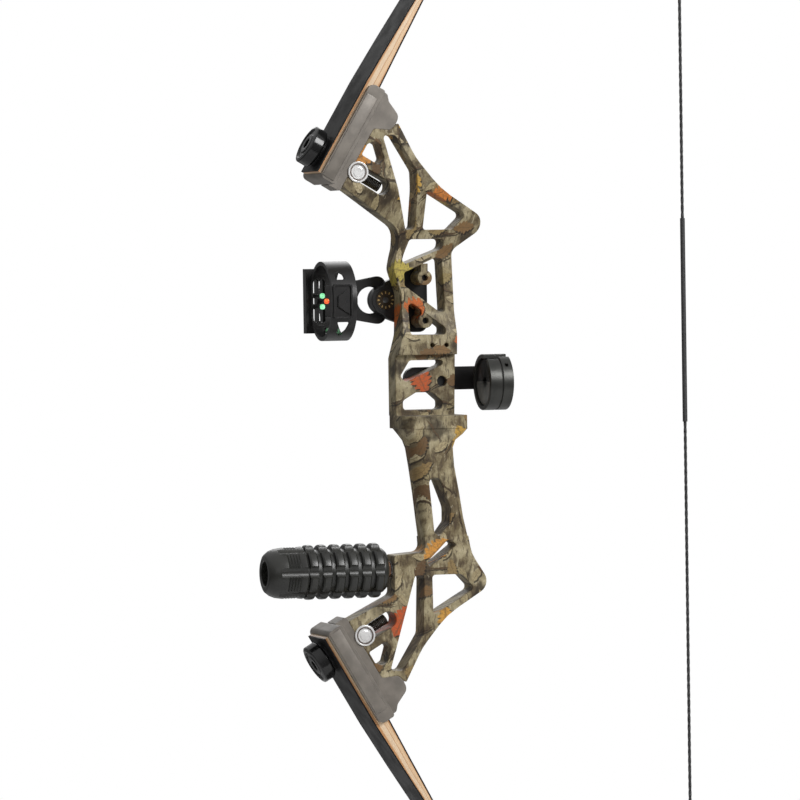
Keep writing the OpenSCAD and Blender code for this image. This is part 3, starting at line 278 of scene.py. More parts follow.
class EffectShelf:
    """Shader node groups that several finishes share, each built once."""

    def __init__(self) -> None:
        """Starts with an empty shelf."""
        self.trees: dict[str, bpy.types.NodeTree] = {}

    def group(
        self, name: str, inputs: dict[str, tuple[str, Any]], outputs: dict[str, str], wire: Wiring
    ) -> bpy.types.NodeTree:
        """Builds a group, or returns the one already built.

        Args:
            name: the group's name.
            inputs: socket type and default by input name.
            outputs: socket type by output name.
            wire: makes the nodes from the group's inputs, and returns a socket for each output.

        Returns:
            The node group.
        """
        if name not in self.trees:
            tree = bpy.data.node_groups.new(name, "ShaderNodeTree")
            for label, (kind, value) in inputs.items():
                socket = tree.interface.new_socket(label, in_out="INPUT", socket_type=kind)
                if value is not None:
                    socket.default_value = value
            for label, kind in outputs.items():
                tree.interface.new_socket(label, in_out="OUTPUT", socket_type=kind)
            graph = Graph(tree)
            source = graph.node("NodeGroupInput")
            results = wire(graph, source.outputs)
            target = graph.node("NodeGroupOutput")
            for label, socket in results.items():
                graph.feed(target.inputs[label], socket)
            self.trees[name] = tree
        return self.trees[name]

    def leaf_layer(self) -> bpy.types.NodeTree:
        """Scattered pointed leaves, one at most in each cell of a jittered grid."""
        teeth_along, veins_along, vein_slant = 11.0, 3.5, 0.9

        def wire(g: Graph, given: Any) -> dict[str, Socket]:
            """Wires the leaf outline, its midrib and veins, and its own random tone."""
            place = g.scaled(given["Vector"], given["Cells"])
            cells = g.node(
                "ShaderNodeTexVoronoi", {"Vector": place, "Scale": 1.0, "Randomness": 0.9},
                voronoi_dimensions="2D", feature="F1",
            )
            own = g.node("ShaderNodeSeparateColor", {"Color": cells.outputs["Color"]}).outputs
            local = g.vector("SUBTRACT", place, cells.outputs["Position"])
            turned = g.node(
                "ShaderNodeVectorRotate",
                {"Vector": local, "Angle": g.maths("MULTIPLY", own[0], FULL_TURN)},
                rotation_type="Z_AXIS",
            )
            axes = g.split(turned.outputs[0])
            length = g.maths("DIVIDE", axes[0], given["Length"])
            across = g.maths("DIVIDE", g.maths("ABSOLUTE", axes[1]), given["Width"])
            edge = g.maths("SUBTRACT", 1.0, g.maths("MULTIPLY", length, length))
            teeth = g.maths("ABSOLUTE", g.maths("SINE", g.maths("MULTIPLY", length, teeth_along)))
            lobes = g.maths("MULTIPLY", g.maths("SUBTRACT", teeth, 0.5), given["Lobes"])
            profile = g.maths("MULTIPLY", edge, g.maths("ADD", 1.0, lobes))
            inside = g.band(g.maths("SUBTRACT", profile, across), 0.0, 0.12)
            present = g.maths("LESS_THAN", own[1], given["Density"])
            mask = g.maths("MULTIPLY", inside, present)
            run = g.maths("MULTIPLY", g.maths("ABSOLUTE", length), veins_along)
            slant = g.maths("FRACT", g.maths("SUBTRACT", run, g.maths("MULTIPLY", across, vein_slant)))
            veins = g.band(g.maths("ABSOLUTE", g.maths("SUBTRACT", slant, 0.5)), 0.12, 0.0)
            rib = g.maths("MAXIMUM", g.band(across, 0.12, 0.03), g.maths("MULTIPLY", veins, 0.45))
            return {"Mask": mask, "Rib": g.maths("MULTIPLY", rib, mask), "Tone": own[2]}

        return self.group(
            "leaf_layer",
            {"Vector": (VECTOR, None), "Cells": (NUMBER, 60.0), "Length": (NUMBER, 0.42),
             "Width": (NUMBER, 0.2), "Density": (NUMBER, 0.4), "Lobes": (NUMBER, 0.0)},
            {"Mask": NUMBER, "Rib": NUMBER, "Tone": NUMBER},
            wire,
        )

    def surface_grain(self) -> bpy.types.NodeTree:
        """Fine cast or moulded texture, with patches that are a little duller."""

        def wire(g: Graph, given: Any) -> dict[str, Socket]:
            """Wires fine grain for the height and broad patches for the roughness."""
            fine = g.noise(given["Vector"], given["Scale"])
            patches = g.noise(given["Vector"], 55.0, 2.0)
            spread = g.maths("MULTIPLY", g.maths("SUBTRACT", patches, 0.5), given["Spread"])
            return {"Height": fine, "Roughness": g.maths("ADD", given["Roughness"], spread, clamp=True)}

        return self.group(
            "surface_grain",
            {"Vector": (VECTOR, None), "Scale": (NUMBER, 1500.0), "Roughness": (NUMBER, 0.5),
             "Spread": (NUMBER, 0.2)},
            {"Height": NUMBER, "Roughness": NUMBER},
            wire,
        )

    def edge_wear_and_highlight(self) -> bpy.types.NodeTree:
        """A mask of the sharp outer edges, broken up, where finishes paint wear and a painted highlight, and
        a normal that rounds them.
        """

        def wire(g: Graph, given: Any) -> dict[str, Socket]:
            """Wires the difference between the rounded and the true normal."""
            soft = g.node("ShaderNodeBevel", {"Radius": given["Radius"]}, samples=4).outputs[0]
            same = g.dot(soft, g.node("ShaderNodeNewGeometry").outputs["Normal"])
            turned = g.band(g.maths("SUBTRACT", 1.0, same), 0.02, 0.25)
            broken = g.band(g.noise(given["Vector"], 260.0, 4.0), 0.38, 0.62)
            amount = g.maths("MULTIPLY", turned, g.maths("MULTIPLY", broken, given["Amount"]))
            return {"Mask": amount, "Normal": soft}

        return self.group(
            "edge_wear_and_highlight",
            {"Vector": (VECTOR, None), "Radius": (NUMBER, 0.0004), "Amount": (NUMBER, 0.5)},
            {"Mask": NUMBER, "Normal": VECTOR},
            wire,
        )

    def wound_thread(self) -> bpy.types.NodeTree:
        """Turns of thread wound round a cord, read along the first axis."""

        def wire(g: Graph, given: Any) -> dict[str, Socket]:
            """Wires one ridge for each pitch, and a tone for each turn."""
            axes = g.split(given["Vector"])
            turns = g.maths("ADD", g.maths("DIVIDE", axes[0], given["Pitch"]), axes[1])
            tone = g.node("ShaderNodeTexWhiteNoise", {"W": g.maths("FLOOR", turns)}, noise_dimensions="1D")
            return {"Height": g.band(g.ridge(turns), 0.0, 0.9), "Tone": tone.outputs["Value"]}

        return self.group(
            "wound_thread",
            {"Vector": (VECTOR, None), "Pitch": (NUMBER, 0.0006)},
            {"Height": NUMBER, "Tone": NUMBER},
            wire,
        )


EFFECTS = EffectShelf()


@dataclass(frozen=True)
class Finish:
    """A named finish that makes its material once. Two finishes that share a slot have labels."""

    slot: str
    label: str = field(default="", kw_only=True)

    def name(self) -> str:
        """The name of this finish, which is its slot unless it has a label."""
        return self.label or self.slot

    def material(self) -> bpy.types.Material:
        """The material, made on first use.

        Returns:
            The material named after the finish.
        """
        known = bpy.data.materials.get("finish_" + self.name())
        if known is not None:
            return known
        made = bpy.data.materials.new("finish_" + self.name())
        made.use_nodes = True
        made.node_tree.nodes.clear()
        graph = Graph(made.node_tree)
        shader = graph.node("ShaderNodeBsdfPrincipled")
        output = graph.node("ShaderNodeOutputMaterial")
        graph.tree.links.new(shader.outputs[0], output.inputs["Surface"])
        self.wire(graph, shader, graph.node("ShaderNodeTexCoord").outputs["Object"])
        return made

    def wire(self, g: Graph, shader: bpy.types.Node, at: Socket) -> None:
        """Wires the shader. Each finish has its own way."""
        raise NotImplementedError


@dataclass(frozen=True)
class LeafLayer:
    """One printed layer: cells to the metre, its shift in metres, and leaf sizes as shares of a cell."""

    cells: float
    offset: tuple[float, float]
    length: float
    width: float
    density: float
    lobes: float
    tones: Stops


BARK_FLAKES = LeafLayer(
    62.0, (0.011, 0.007), length=0.44, width=0.18, density=0.50, lobes=0.0,
    tones=((0.0, (0.34, 0.28, 0.150)), (1.0, (0.56, 0.47, 0.29))),
)
DARK_TWIGS = LeafLayer(
    44.0, (0.031, 0.012), length=0.46, width=0.035, density=0.75, lobes=0.0,
    tones=((0.0, (0.030, 0.018, 0.010)), (1.0, (0.105, 0.065, 0.034))),
)
BROWN_LEAVES = LeafLayer(
    52.0, (0.003, 0.019), length=0.45, width=0.20, density=0.34, lobes=0.35,
    tones=((0.0, (0.095, 0.050, 0.022)), (0.6, (0.26, 0.150, 0.060)), (1.0, (0.36, 0.30, 0.13))),
)
BRIGHT_LEAVES = LeafLayer(
    36.0, (0.0045, 0.0262), length=0.50, width=0.27, density=0.26, lobes=0.5,
    tones=(
        (0.0, (0.56, 0.085, 0.022)), (0.40, (0.62, 0.155, 0.030)),
        (0.70, (0.66, 0.30, 0.055)), (1.0, (0.50, 0.46, 0.095)),
    ),
)


@dataclass(frozen=True)
class CamoFilm(Finish):
    """Satin film printed with bark, twigs and fallen leaves, whose shadows are shifted, in metres."""

    grain: float = 0.06
    edge: float = 1.3
    layers: tuple[LeafLayer, ...] = (BARK_FLAKES, DARK_TWIGS, BROWN_LEAVES, BRIGHT_LEAVES)
    shadow: Triple = (-0.0009, 0.0013, 0.0)

    def bark(self, g: Graph, place: Socket) -> Socket:
        """The printed ground: mottled bark with upright streaks and dark hollows."""
        ground = g.ramp(
            g.noise(place, 42.0, 5.0, 0.6),
            [(0.34, (0.045, 0.030, 0.016)), (0.44, (0.165, 0.125, 0.066)),
             (0.53, (0.330, 0.275, 0.160)), (0.68, (0.540, 0.465, 0.300))],
        )
        tall = g.vector("MULTIPLY", place, (1.0, 0.22, 1.0))
        streaks = g.noise(tall, 420.0, 4.0, 0.65)
        colour = g.mix(g.band(streaks, 0.50, 0.62, 0.0, 0.75), ground, (0.075, 0.050, 0.030))
        colour = g.mix(g.band(streaks, 0.42, 0.32, 0.0, 0.6), colour, (0.60, 0.53, 0.37))
        hollows = g.band(g.noise(place, 34.0, 4.0), 0.53, 0.64, 0.0, 0.85)
        return g.mix(hollows, colour, (0.040, 0.028, 0.016))

    def leaves(self, g: Graph, place: Socket, colour: Socket, layer: LeafLayer) -> Socket:
        """One layer of leaves, with their shadows, over the colour so far.

        Args:
            g: the material's graph.
            place: the print's own flat coordinates, in metres.
            colour: what lies under this layer.
            layer: the layer.

        Returns:
            The colour with the layer on it.
        """
        tree = EFFECTS.leaf_layer()
        settings = {
            "Cells": layer.cells, "Length": layer.length, "Width": layer.width,
            "Density": layer.density, "Lobes": layer.lobes,
        }
        own = g.vector("ADD", place, (*layer.offset, 0.0))
        cast = g.group(tree, {"Vector": g.vector("ADD", own, self.shadow), **settings})
        leaf = g.group(tree, {"Vector": own, **settings})
        colour = g.mix(g.maths("MULTIPLY", cast.outputs["Mask"], 0.8), colour, (0.018, 0.011, 0.006))
        tone = g.ramp(leaf.outputs["Tone"], layer.tones)
        mottling = g.band(g.noise(place, 620.0, 3.0), 0.40, 0.68, 0.0, 0.55)
        mottled = g.mix(mottling, tone, (0.16, 0.11, 0.055))
        ribbed = g.mix(g.maths("MULTIPLY", leaf.outputs["Rib"], 0.5), mottled, (0.10, 0.062, 0.030))
        return g.mix(leaf.outputs["Mask"], colour, ribbed)

    def wire(self, g: Graph, shader: bpy.types.Node, at: Socket) -> None:
        """Wires the ground, the bark, the layers of leaves and the film's grain."""
        x, y, z = g.split(at)
        flat = g.flat(
            g.maths("ADD", x, g.maths("MULTIPLY", y, 0.62)), g.maths("ADD", z, g.maths("MULTIPLY", y, 0.41))
        )
        wobble = g.node("ShaderNodeTexNoise", {"Vector": at, "Scale": 170.0, "Detail": 2.0})
        shift = g.scaled(g.vector("SUBTRACT", wobble.outputs["Color"], (0.5, 0.5, 0.5)), 0.0035)
        place = g.vector("ADD", flat, shift)
        colour = self.bark(g, place)
        for layer in self.layers:
            colour = self.leaves(g, place, colour, layer)
        greys = [(0.3, (0.25, 0.25, 0.25)), (0.7, (0.78, 0.78, 0.78))]
        fine = g.ramp(g.noise(place, 1500.0, 3.0, 0.7), greys)
        g.feed(shader.inputs["Base Color"], g.mix(0.22, colour, fine, "OVERLAY"))
        cast_grain = g.group(
            EFFECTS.surface_grain(), {"Vector": at, "Scale": 1300.0, "Roughness": 0.50, "Spread": 0.22}
        ).outputs
        g.feed(shader.inputs["Roughness"], cast_grain["Roughness"])
        rounded = g.node("ShaderNodeBevel", {"Radius": self.edge * MM}, samples=6).outputs[0]
        g.relief(shader, cast_grain["Height"], self.grain, 0.4, Normal=rounded)
        shader.inputs["Specular IOR Level"].default_value = 0.35


@dataclass(frozen=True)
class Coated(Finish):
    """Painted, anodised or blackened metal, or plain plastic, with grain and edges tinted as wear and as a
    painted highlight.
    """

    colour: Colour = (0.04, 0.04, 0.04)
    wear_and_highlight: Colour = (0.16, 0.16, 0.16)
    metallic: float = 0.0
    roughness: float = 0.45
    spread: float = 0.18
    grain_scale: float = 1500.0
    grain: float = 0.05
    wear_and_highlight_amount: float = 0.5
    edge: float = 0.35

    def wire(self, g: Graph, shader: bpy.types.Node, at: Socket) -> None:
        """Wires the colour with its edge tint, partly wear and partly a painted highlight, the grain and the
        rounded edges.
        """
        edge_wear_and_light = g.group(
            EFFECTS.edge_wear_and_highlight(), {"Vector": at, "Radius": self.edge * MM, "Amount": self.wear_and_highlight_amount}
        ).outputs
        cloudy = g.band(g.noise(at, 90.0, 3.0), 0.3, 0.7, 0.82, 1.12)
        tinted = g.scaled(self.colour, cloudy)
        # Sharp edges take the edge colour, partly as wear and partly as a painted highlight.
        g.feed(shader.inputs["Base Color"], g.mix(edge_wear_and_light["Mask"], tinted, self.wear_and_highlight))
        grain = g.group(
            EFFECTS.surface_grain(),
            {"Vector": at, "Scale": self.grain_scale, "Roughness": self.roughness, "Spread": self.spread},
        ).outputs
        g.feed(shader.inputs["Roughness"], grain["Roughness"])
        shader.inputs["Metallic"].default_value = self.metallic
        g.relief(shader, grain["Height"], self.grain, 0.3, Normal=edge_wear_and_light["Normal"])


@dataclass(frozen=True)
class Threaded(Finish):
    """Blackened steel with a rolled thread along one axis, each crest painted lighter as a highlight."""

    axis: Triple = (1.0, 0.0, 0.0)
    colour: Colour = (0.055, 0.053, 0.050)
    crest_highlight: Colour = (0.30, 0.29, 0.27)
    pitch: float = 1.25

    def wire(self, g: Graph, shader: bpy.types.Node, at: Socket) -> None:
        """Wires a painted highlight on each crest over the dark steel of the roots, one for each pitch."""
        ridge = g.ridge(g.maths("DIVIDE", g.dot(at, self.axis), self.pitch * MM))
        oily = g.noise(at, 400.0, 3.0)
        # Crests are painted lighter as a highlight on the thread.
        g.feed(shader.inputs["Base Color"], g.mix(g.band(ridge, 0.35, 0.95), self.colour, self.crest_highlight))
        g.feed(shader.inputs["Roughness"], g.band(oily, 0.3, 0.7, 0.22, 0.36))
        g.relief(shader, ridge, 0.9, 0.6)
        shader.inputs["Metallic"].default_value = 0.9


@dataclass(frozen=True)
class Laminated(Finish):
    """Edge of a laminated limb: strips of maple and a warmer wood, read along the limb."""

    def wire(self, g: Graph, shader: bpy.types.Node, at: Socket) -> None:
        """Wires the strips across the thickness and the grain along the limb."""
        along = g.node("ShaderNodeUVMap", uv_map="grain").outputs[0]
        strip = g.ramp(
            g.split(along)[1],
            [(0.0, (0.62, 0.30, 0.12)), (0.12, (0.95, 0.66, 0.40)), (0.40, (0.95, 0.69, 0.44)),
             (0.46, (0.66, 0.33, 0.13)), (0.52, (0.97, 0.76, 0.54)), (0.84, (0.96, 0.72, 0.48)),
             (0.94, (0.64, 0.32, 0.13))],
        )
        lines = g.noise(g.vector("MULTIPLY", along, (14.0, 26.0, 1.0)), 3.0, 5.0, 0.6)
        pores = g.noise(g.vector("MULTIPLY", along, (90.0, 60.0, 1.0)), 4.0, 3.0)
        colour = g.mix(g.band(lines, 0.42, 0.66, 0.0, 0.45), strip, (0.36, 0.18, 0.075))
        colour = g.mix(g.band(pores, 0.60, 0.72, 0.0, 0.5), colour, (0.16, 0.075, 0.03))
        g.feed(shader.inputs["Base Color"], colour)
        g.feed(shader.inputs["Roughness"], g.band(lines, 0.3, 0.7, 0.30, 0.44))
        g.relief(shader, lines, 0.08, 0.3)
        shader.inputs["Coat Weight"].default_value = 0.35
        shader.inputs["Coat Roughness"].default_value = 0.15


@dataclass(frozen=True)
class GlassLaminate(Finish):
    """Black glass fibre with its long threads, in a dull gloss."""

    def wire(self, g: Graph, shader: bpy.types.Node, at: Socket) -> None:
        """Wires threads that run along the limb, and a little dust in the gloss."""
        fibres = g.noise(g.vector("MULTIPLY", at, (240.0, 900.0, 12.0)), 1.0, 3.0, 0.7)
        dust = g.noise(at, 70.0, 4.0)
        shades = [(0.35, (0.012, 0.012, 0.012)), (0.7, (0.022, 0.022, 0.022))]
        g.feed(shader.inputs["Base Color"], g.ramp(fibres, shades))
        g.feed(shader.inputs["Roughness"], g.band(dust, 0.35, 0.7, 0.40, 0.52))
        g.relief(shader, fibres, 0.05, 0.2)
        shader.inputs["Specular IOR Level"].default_value = 0.1


@dataclass(frozen=True)
class WoundThread(Finish):
    """Waxed thread, wound round the string or lying along it, each turn painted lighter at its crown as a
    highlight. Centre is the string's place, in metres.
    """

    colour: Colour = (0.020, 0.020, 0.021)
    light: Colour = (0.055, 0.055, 0.056)
    pitch: float = 0.6
    centre: float = 0.1415

    def wire(self, g: Graph, shader: bpy.types.Node, at: Socket) -> None:
        """Wires the turns of thread from the place along and round the string, each painted lighter at its
        crown as a highlight.
        """
        x, y, z = g.split(at)
        around = g.maths("ARCTAN2", y, g.maths("SUBTRACT", x, self.centre))
        run = g.flat(z, g.maths("DIVIDE", around, FULL_TURN))
        turns = g.group(EFFECTS.wound_thread(), {"Vector": run, "Pitch": self.pitch * MM}).outputs
        fuzz = g.noise(at, 2600.0, 3.0, 0.7)
        # Each turn's crown is painted lighter as a highlight, by an amount that differs from turn to turn.
        tone = g.maths("MULTIPLY", turns["Height"], g.band(turns["Tone"], 0.0, 1.0, 0.4, 1.0))
        thread = g.mix(tone, self.colour, self.light)
        hairy = g.mix(g.band(fuzz, 0.5, 0.8, 0.0, 0.35), thread, (0.10, 0.10, 0.10))
        g.feed(shader.inputs["Base Color"], hairy)
        g.feed(shader.inputs["Roughness"], g.band(fuzz, 0.3, 0.7, 0.45, 0.65))
        g.relief(shader, g.maths("ADD", turns["Height"], g.maths("MULTIPLY", fuzz, 0.3)), 0.5, 0.1)


@dataclass(frozen=True)
class Moulded(Finish):
    """Soft black rubber with a faint warm bloom."""

    def wire(self, g: Graph, shader: bpy.types.Node, at: Socket) -> None:
        """Wires the bloom on the rubber and its fine grain."""
        shades = [(0.3, (0.014, 0.014, 0.012)), (0.7, (0.024, 0.024, 0.020))]
        g.feed(shader.inputs["Base Color"], g.ramp(g.noise(at, 40.0, 4.0, 0.6), shades))
        grain = g.group(
            EFFECTS.surface_grain(), {"Vector": at, "Scale": 2200.0, "Roughness": 0.33, "Spread": 0.2}
        ).outputs
        g.feed(shader.inputs["Roughness"], grain["Roughness"])
        g.relief(shader, grain["Height"], 0.12, 0.2)
        shader.inputs["Specular IOR Level"].default_value = 0.6


@dataclass(frozen=True)
class GlowingFibre(Finish):
    """Light-gathering fibre that glows, a little cloudy."""

    colour: Colour = (0.1, 0.8, 0.3)
    glow: Colour = (0.3, 1.0, 0.5)
    strength: float = 0.9

    def wire(self, g: Graph, shader: bpy.types.Node, at: Socket) -> None:
        """Wires a cloudy glow."""
        cloud = g.band(g.noise(at, 900.0, 2.0), 0.35, 0.65)
        for name in ("Base Color", "Emission Color"):
            g.feed(shader.inputs[name], g.mix(cloud, self.colour, self.glow))
        g.feed(shader.inputs["Roughness"], g.band(cloud, 0.0, 1.0, 0.12, 0.2))
        shader.inputs["Emission Strength"].default_value = self.strength


@dataclass(frozen=True)
class ClearTube(Finish):
    """Tinted acrylic or liquid, clear in part."""

    colour: Colour = (0.45, 0.9, 0.4)

    def wire(self, g: Graph, shader: bpy.types.Node, at: Socket) -> None:
        """Wires a faint swirl in the tint."""
        swirl = g.band(g.noise(at, 300.0, 2.0), 0.3, 0.7)
        pale = tuple(min(1.0, part * 1.15) for part in self.colour)
        g.feed(shader.inputs["Base Color"], g.mix(swirl, self.colour, pale))
        g.feed(shader.inputs["Roughness"], g.band(swirl, 0.0, 1.0, 0.04, 0.08))
        shader.inputs["Transmission Weight"].default_value = 0.35
        shader.inputs["IOR"].default_value = 1.45


CAMO = CamoFilm("camo")
POCKET_PAINT = Coated(
    "pocket_metal", (0.235, 0.210, 0.182), (0.42, 0.39, 0.35), metallic=0.2, roughness=0.42,
    spread=0.2, grain_scale=700.0, grain=0.22, edge=0.7,
)
BLACK_STEEL = Coated(
    "black_steel", (0.022, 0.022, 0.023), (0.12, 0.12, 0.12), metallic=0.5, roughness=0.36,
    grain_scale=1800.0, grain=0.06,
)
KNOB_GLOSS = Coated(
    "black_steel", (0.010, 0.010, 0.010), (0.05, 0.05, 0.05), metallic=0.1, roughness=0.16,
    spread=0.08, grain_scale=1800.0, grain=0.02, wear_and_highlight_amount=0.2, edge=0.8, label="knob_gloss",
)
STEEL = Coated(
    "steel", (0.52, 0.52, 0.52), (0.62, 0.62, 0.62), metallic=1.0, roughness=0.28,
    spread=0.16, grain_scale=1600.0,
)
CHROME = Coated(
    "chrome", (0.98, 0.97, 0.96), (0.98, 0.98, 0.98), metallic=0.30, roughness=0.22,
    spread=0.10, grain_scale=1200.0, grain=0.02, wear_and_highlight_amount=0.3, edge=0.6,
)
# A thin brownish ring on the chrome barrel nut, a painted reflection.
NUT_RIM_REFLECTION = Coated(
    "chrome", (0.20, 0.16, 0.14), (0.30, 0.26, 0.24), metallic=0.6, roughness=0.3,
    spread=0.1, grain_scale=1200.0, grain=0.02, wear_and_highlight_amount=0.2, edge=0.1, label="nut_rim_reflection",
)
ANODISED = Coated(
    "anodised", (0.024, 0.023, 0.023), (0.17, 0.165, 0.16), metallic=0.4, roughness=0.34, grain=0.08
)
DIAL = Coated(
    "dial", (0.055, 0.038, 0.022), (0.20, 0.15, 0.09), metallic=0.6, roughness=0.36,
    spread=0.16, grain=0.06,
)
TICK_PAINT = Coated(
    "dial", (0.62, 0.42, 0.16), (0.5, 0.35, 0.15), metallic=0.2, roughness=0.4,
    spread=0.1, grain=0.04, wear_and_highlight_amount=0.2, edge=0.1, label="dial_ticks",
)
GREY_METAL = Coated(
    "grey_metal", (0.26, 0.255, 0.25), (0.42, 0.42, 0.41), metallic=0.85, roughness=0.36,
    spread=0.16, grain_scale=1400.0, grain=0.06,
)
GUNMETAL = Coated(
    "gunmetal", (0.050, 0.050, 0.046), (0.20, 0.20, 0.19), metallic=0.55, roughness=0.34,
    spread=0.2, grain_scale=1300.0, grain=0.08,
)
COPPER = Coated(
    "copper", (0.60, 0.34, 0.22), (0.8, 0.5, 0.35), metallic=1.0, roughness=0.22,
    spread=0.14, grain_scale=1300.0, grain=0.04,
)
DARK_BRISTLE = Coated(
    "brush_dark", (0.016, 0.016, 0.016), (0.03, 0.03, 0.03), roughness=0.55,
    spread=0.2, grain_scale=3000.0, wear_and_highlight_amount=0.1, edge=0.05,
)
GREY_BRISTLE = Coated(
    "brush_grey", (0.25, 0.25, 0.24), (0.33, 0.33, 0.32), roughness=0.6,
    spread=0.2, grain_scale=3000.0, wear_and_highlight_amount=0.1, edge=0.05,
)
LIMB_EDGE = Laminated("limb_wood")
LIMB_FACE = GlassLaminate("limb_glass")
SERVING = WoundThread("string", label="serving_thread")
STRAND = WoundThread(
    "string", (0.030, 0.030, 0.031), (0.075, 0.075, 0.076), pitch=4.0, label="string_strands"
)
RUBBER = Moulded("rubber")
GREEN_FIBRE = GlowingFibre("fibre_green", (0.16, 0.72, 0.30), (0.45, 0.95, 0.60))
RED_FIBRE = GlowingFibre("fibre_red", (0.80, 0.05, 0.02), (1.0, 0.25, 0.06))
LEVEL_GLASS = ClearTube("level_glass", (0.36, 0.80, 0.46))
BUBBLE = ClearTube("bubble", (0.85, 0.95, 0.80))


# Modelling


class Bench:
    """Mesh work shared by the sub-assemblies."""

    @staticmethod
    def linked(name: str, data: bpy.types.ID) -> bpy.types.Object:
        """Puts a new object with this data in the scene."""
        made = bpy.data.objects.new(name, data)
        bpy.context.scene.collection.objects.link(made)
        return made

    @staticmethod
    def mesh(bm: bmesh.types.BMesh, name: str) -> bpy.types.Mesh:
        """Makes mesh data of a mesh in work, and frees that."""
        data = bpy.data.meshes.new(name)
        bm.to_mesh(data)
        bm.free()
        return data

    @staticmethod
    def piece(
        bm: bmesh.types.BMesh, name: str, finish: Finish, body: Body,
        stands_for: Sequence[str] = (), smooth: float = 32.0,
    ) -> bpy.types.Object:
        """Turns a mesh into a finished piece that rides on a body.

        Args:
            bm: the mesh in metres, freed here.
            name: the piece's name.
            finish: its finish.
            body: the body that it rides on.
            stands_for: CAD nodes that it replaces.
            smooth: the angle in degrees under which faces shade as one.

        Returns:
            The object.
        """
        for face in bm.faces:
            face.smooth = True
        data = Bench.mesh(bm, name)
        data.set_sharp_from_angle(angle=math.radians(smooth))
        data.materials.append(finish.material())
        made = Bench.linked(name, data)
        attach(made, body.value)
        if stands_for:
            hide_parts(*stands_for)
        log.info("%s: %d faces on %s", name, len(data.polygons), body.value)
        return made

    @staticmethod
    def dress(node: str, finish: Finish) -> None:
        """Gives a CAD node a finish and leaves its shape."""
        held = frame["nodes"][node].data
        held.materials.clear()
        held.materials.append(finish.material())
        log.info("%s: %s", node, finish.name())

    @staticmethod
    def merged(node: str) -> bmesh.types.BMesh:
        """A copy of a CAD node with its corners joined and its flat faces whole.

        Args:
            node: the CAD node.

        Returns:
            A new mesh.
        """
        bm = bmesh.new()
        bm.from_mesh(frame["nodes"][node].data)
        bmesh.ops.remove_doubles(bm, verts=bm.verts, dist=0.002 * MM)
        bmesh.ops.dissolve_limit(
            bm, angle_limit=math.radians(0.4), verts=bm.verts, edges=bm.edges, use_dissolve_boundaries=False
        )
        return bm

    @staticmethod
    def soften(bm: bmesh.types.BMesh, width: float, segments: int = 2, angle: float = 30.0) -> None:
        """Rounds the sharp edges of a mesh.

        Args:
            bm: the mesh.
            width: how far the rounding reaches from the edge, in millimetres.
            segments: faces across the rounding.
            angle: edges that turn by more than this, in degrees, are rounded.
        """
        limit = math.radians(angle)
        edges = [e for e in bm.edges if len(e.link_faces) == 2 and e.calc_face_angle(0.0) > limit]
        bmesh.ops.bevel(
            bm, geom=edges, offset=width * MM, offset_type="OFFSET", segments=segments, profile=0.5,
            affect="EDGES", clamp_overlap=False, material=-1, loop_slide=True,
        )

    @staticmethod
    def with_edges(verts: Sequence[bmesh.types.BMVert]) -> list[Any]:
        """These corners and the edges that meet them, each once."""
        return [*verts, *{edge for vert in verts for edge in vert.link_edges}]

    @staticmethod
    def turn(bm: bmesh.types.BMesh, line: Sequence[Any], centre: Vector, axis: Triple, steps: int) -> None:
        """Spins a line once round an axis and joins the ends."""
        bmesh.ops.spin(bm, geom=line, cent=centre, axis=axis, angle=FULL_TURN, steps=steps, use_merge=True)

    @staticmethod
    def close(bm: bmesh.types.BMesh, sides: int = 0) -> None:
        """Fills open ends of up to so many sides, or all for 0, and turns the faces outwards."""
        bmesh.ops.holes_fill(bm, edges=[e for e in bm.edges if e.is_boundary], sides=sides)
        bmesh.ops.recalc_face_normals(bm, faces=bm.faces)

    @staticmethod
    def applied(made: bpy.types.Object) -> bpy.types.Mesh:
        """Applies an object's modifiers and returns its new mesh."""
        view = bpy.context.evaluated_depsgraph_get()
        data = bpy.data.meshes.new_from_object(made.evaluated_get(view), depsgraph=view)
        made.modifiers.clear()
        made.data = data
        return data


@dataclass
class SoftEdged:
    """A rigid node copied with its sharp edges rounded, where the rounding shows."""

    node: str
    finish: Finish
    body: Body
    width: float = 0.4
    segments: int = 2
    sharp_angle: float = 35.0
    slack: float = 0.02
    least_volume: float = 0.85
    most_volume: float = 1.001

    def sound(self, bm: bmesh.types.BMesh) -> bool:
        """True if a rounded copy stays in the node's box and keeps about its volume.

        Args:
            bm: the rounded copy.

        Returns:
            Whether the copy is good.
        """
        low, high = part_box(self.node)
        slack = self.slack * MM
        inside = all(low[i] - slack <= v.co[i] <= high[i] + slack for v in bm.verts for i in range(3))
        whole = Bench.merged(self.node)
        share = bm.calc_volume(signed=True) / whole.calc_volume(signed=True)
        whole.free()
        log.info("%s rounded: share of its volume %.3f, inside %s", self.node, share, inside)
        return inside and self.least_volume < share < self.most_volume

    def build(self) -> None:
        """Rounds the copy's edges, and keeps the CAD shape where that can't be done cleanly."""
        bm = Bench.merged(self.node)
        Bench.soften(bm, self.width, self.segments, self.sharp_angle)
        bmesh.ops.recalc_face_normals(bm, faces=bm.faces)
        if not self.sound(bm):
            bm.free()
            Bench.dress(self.node, self.finish)
            return
        made = Bench.piece(bm, self.node + "_rounded", self.finish, self.body, [self.node], 40.0)
        weigh = made.modifiers.new("weigh", "WEIGHTED_NORMAL")
        weigh.keep_sharp = True
        Bench.applied(made)


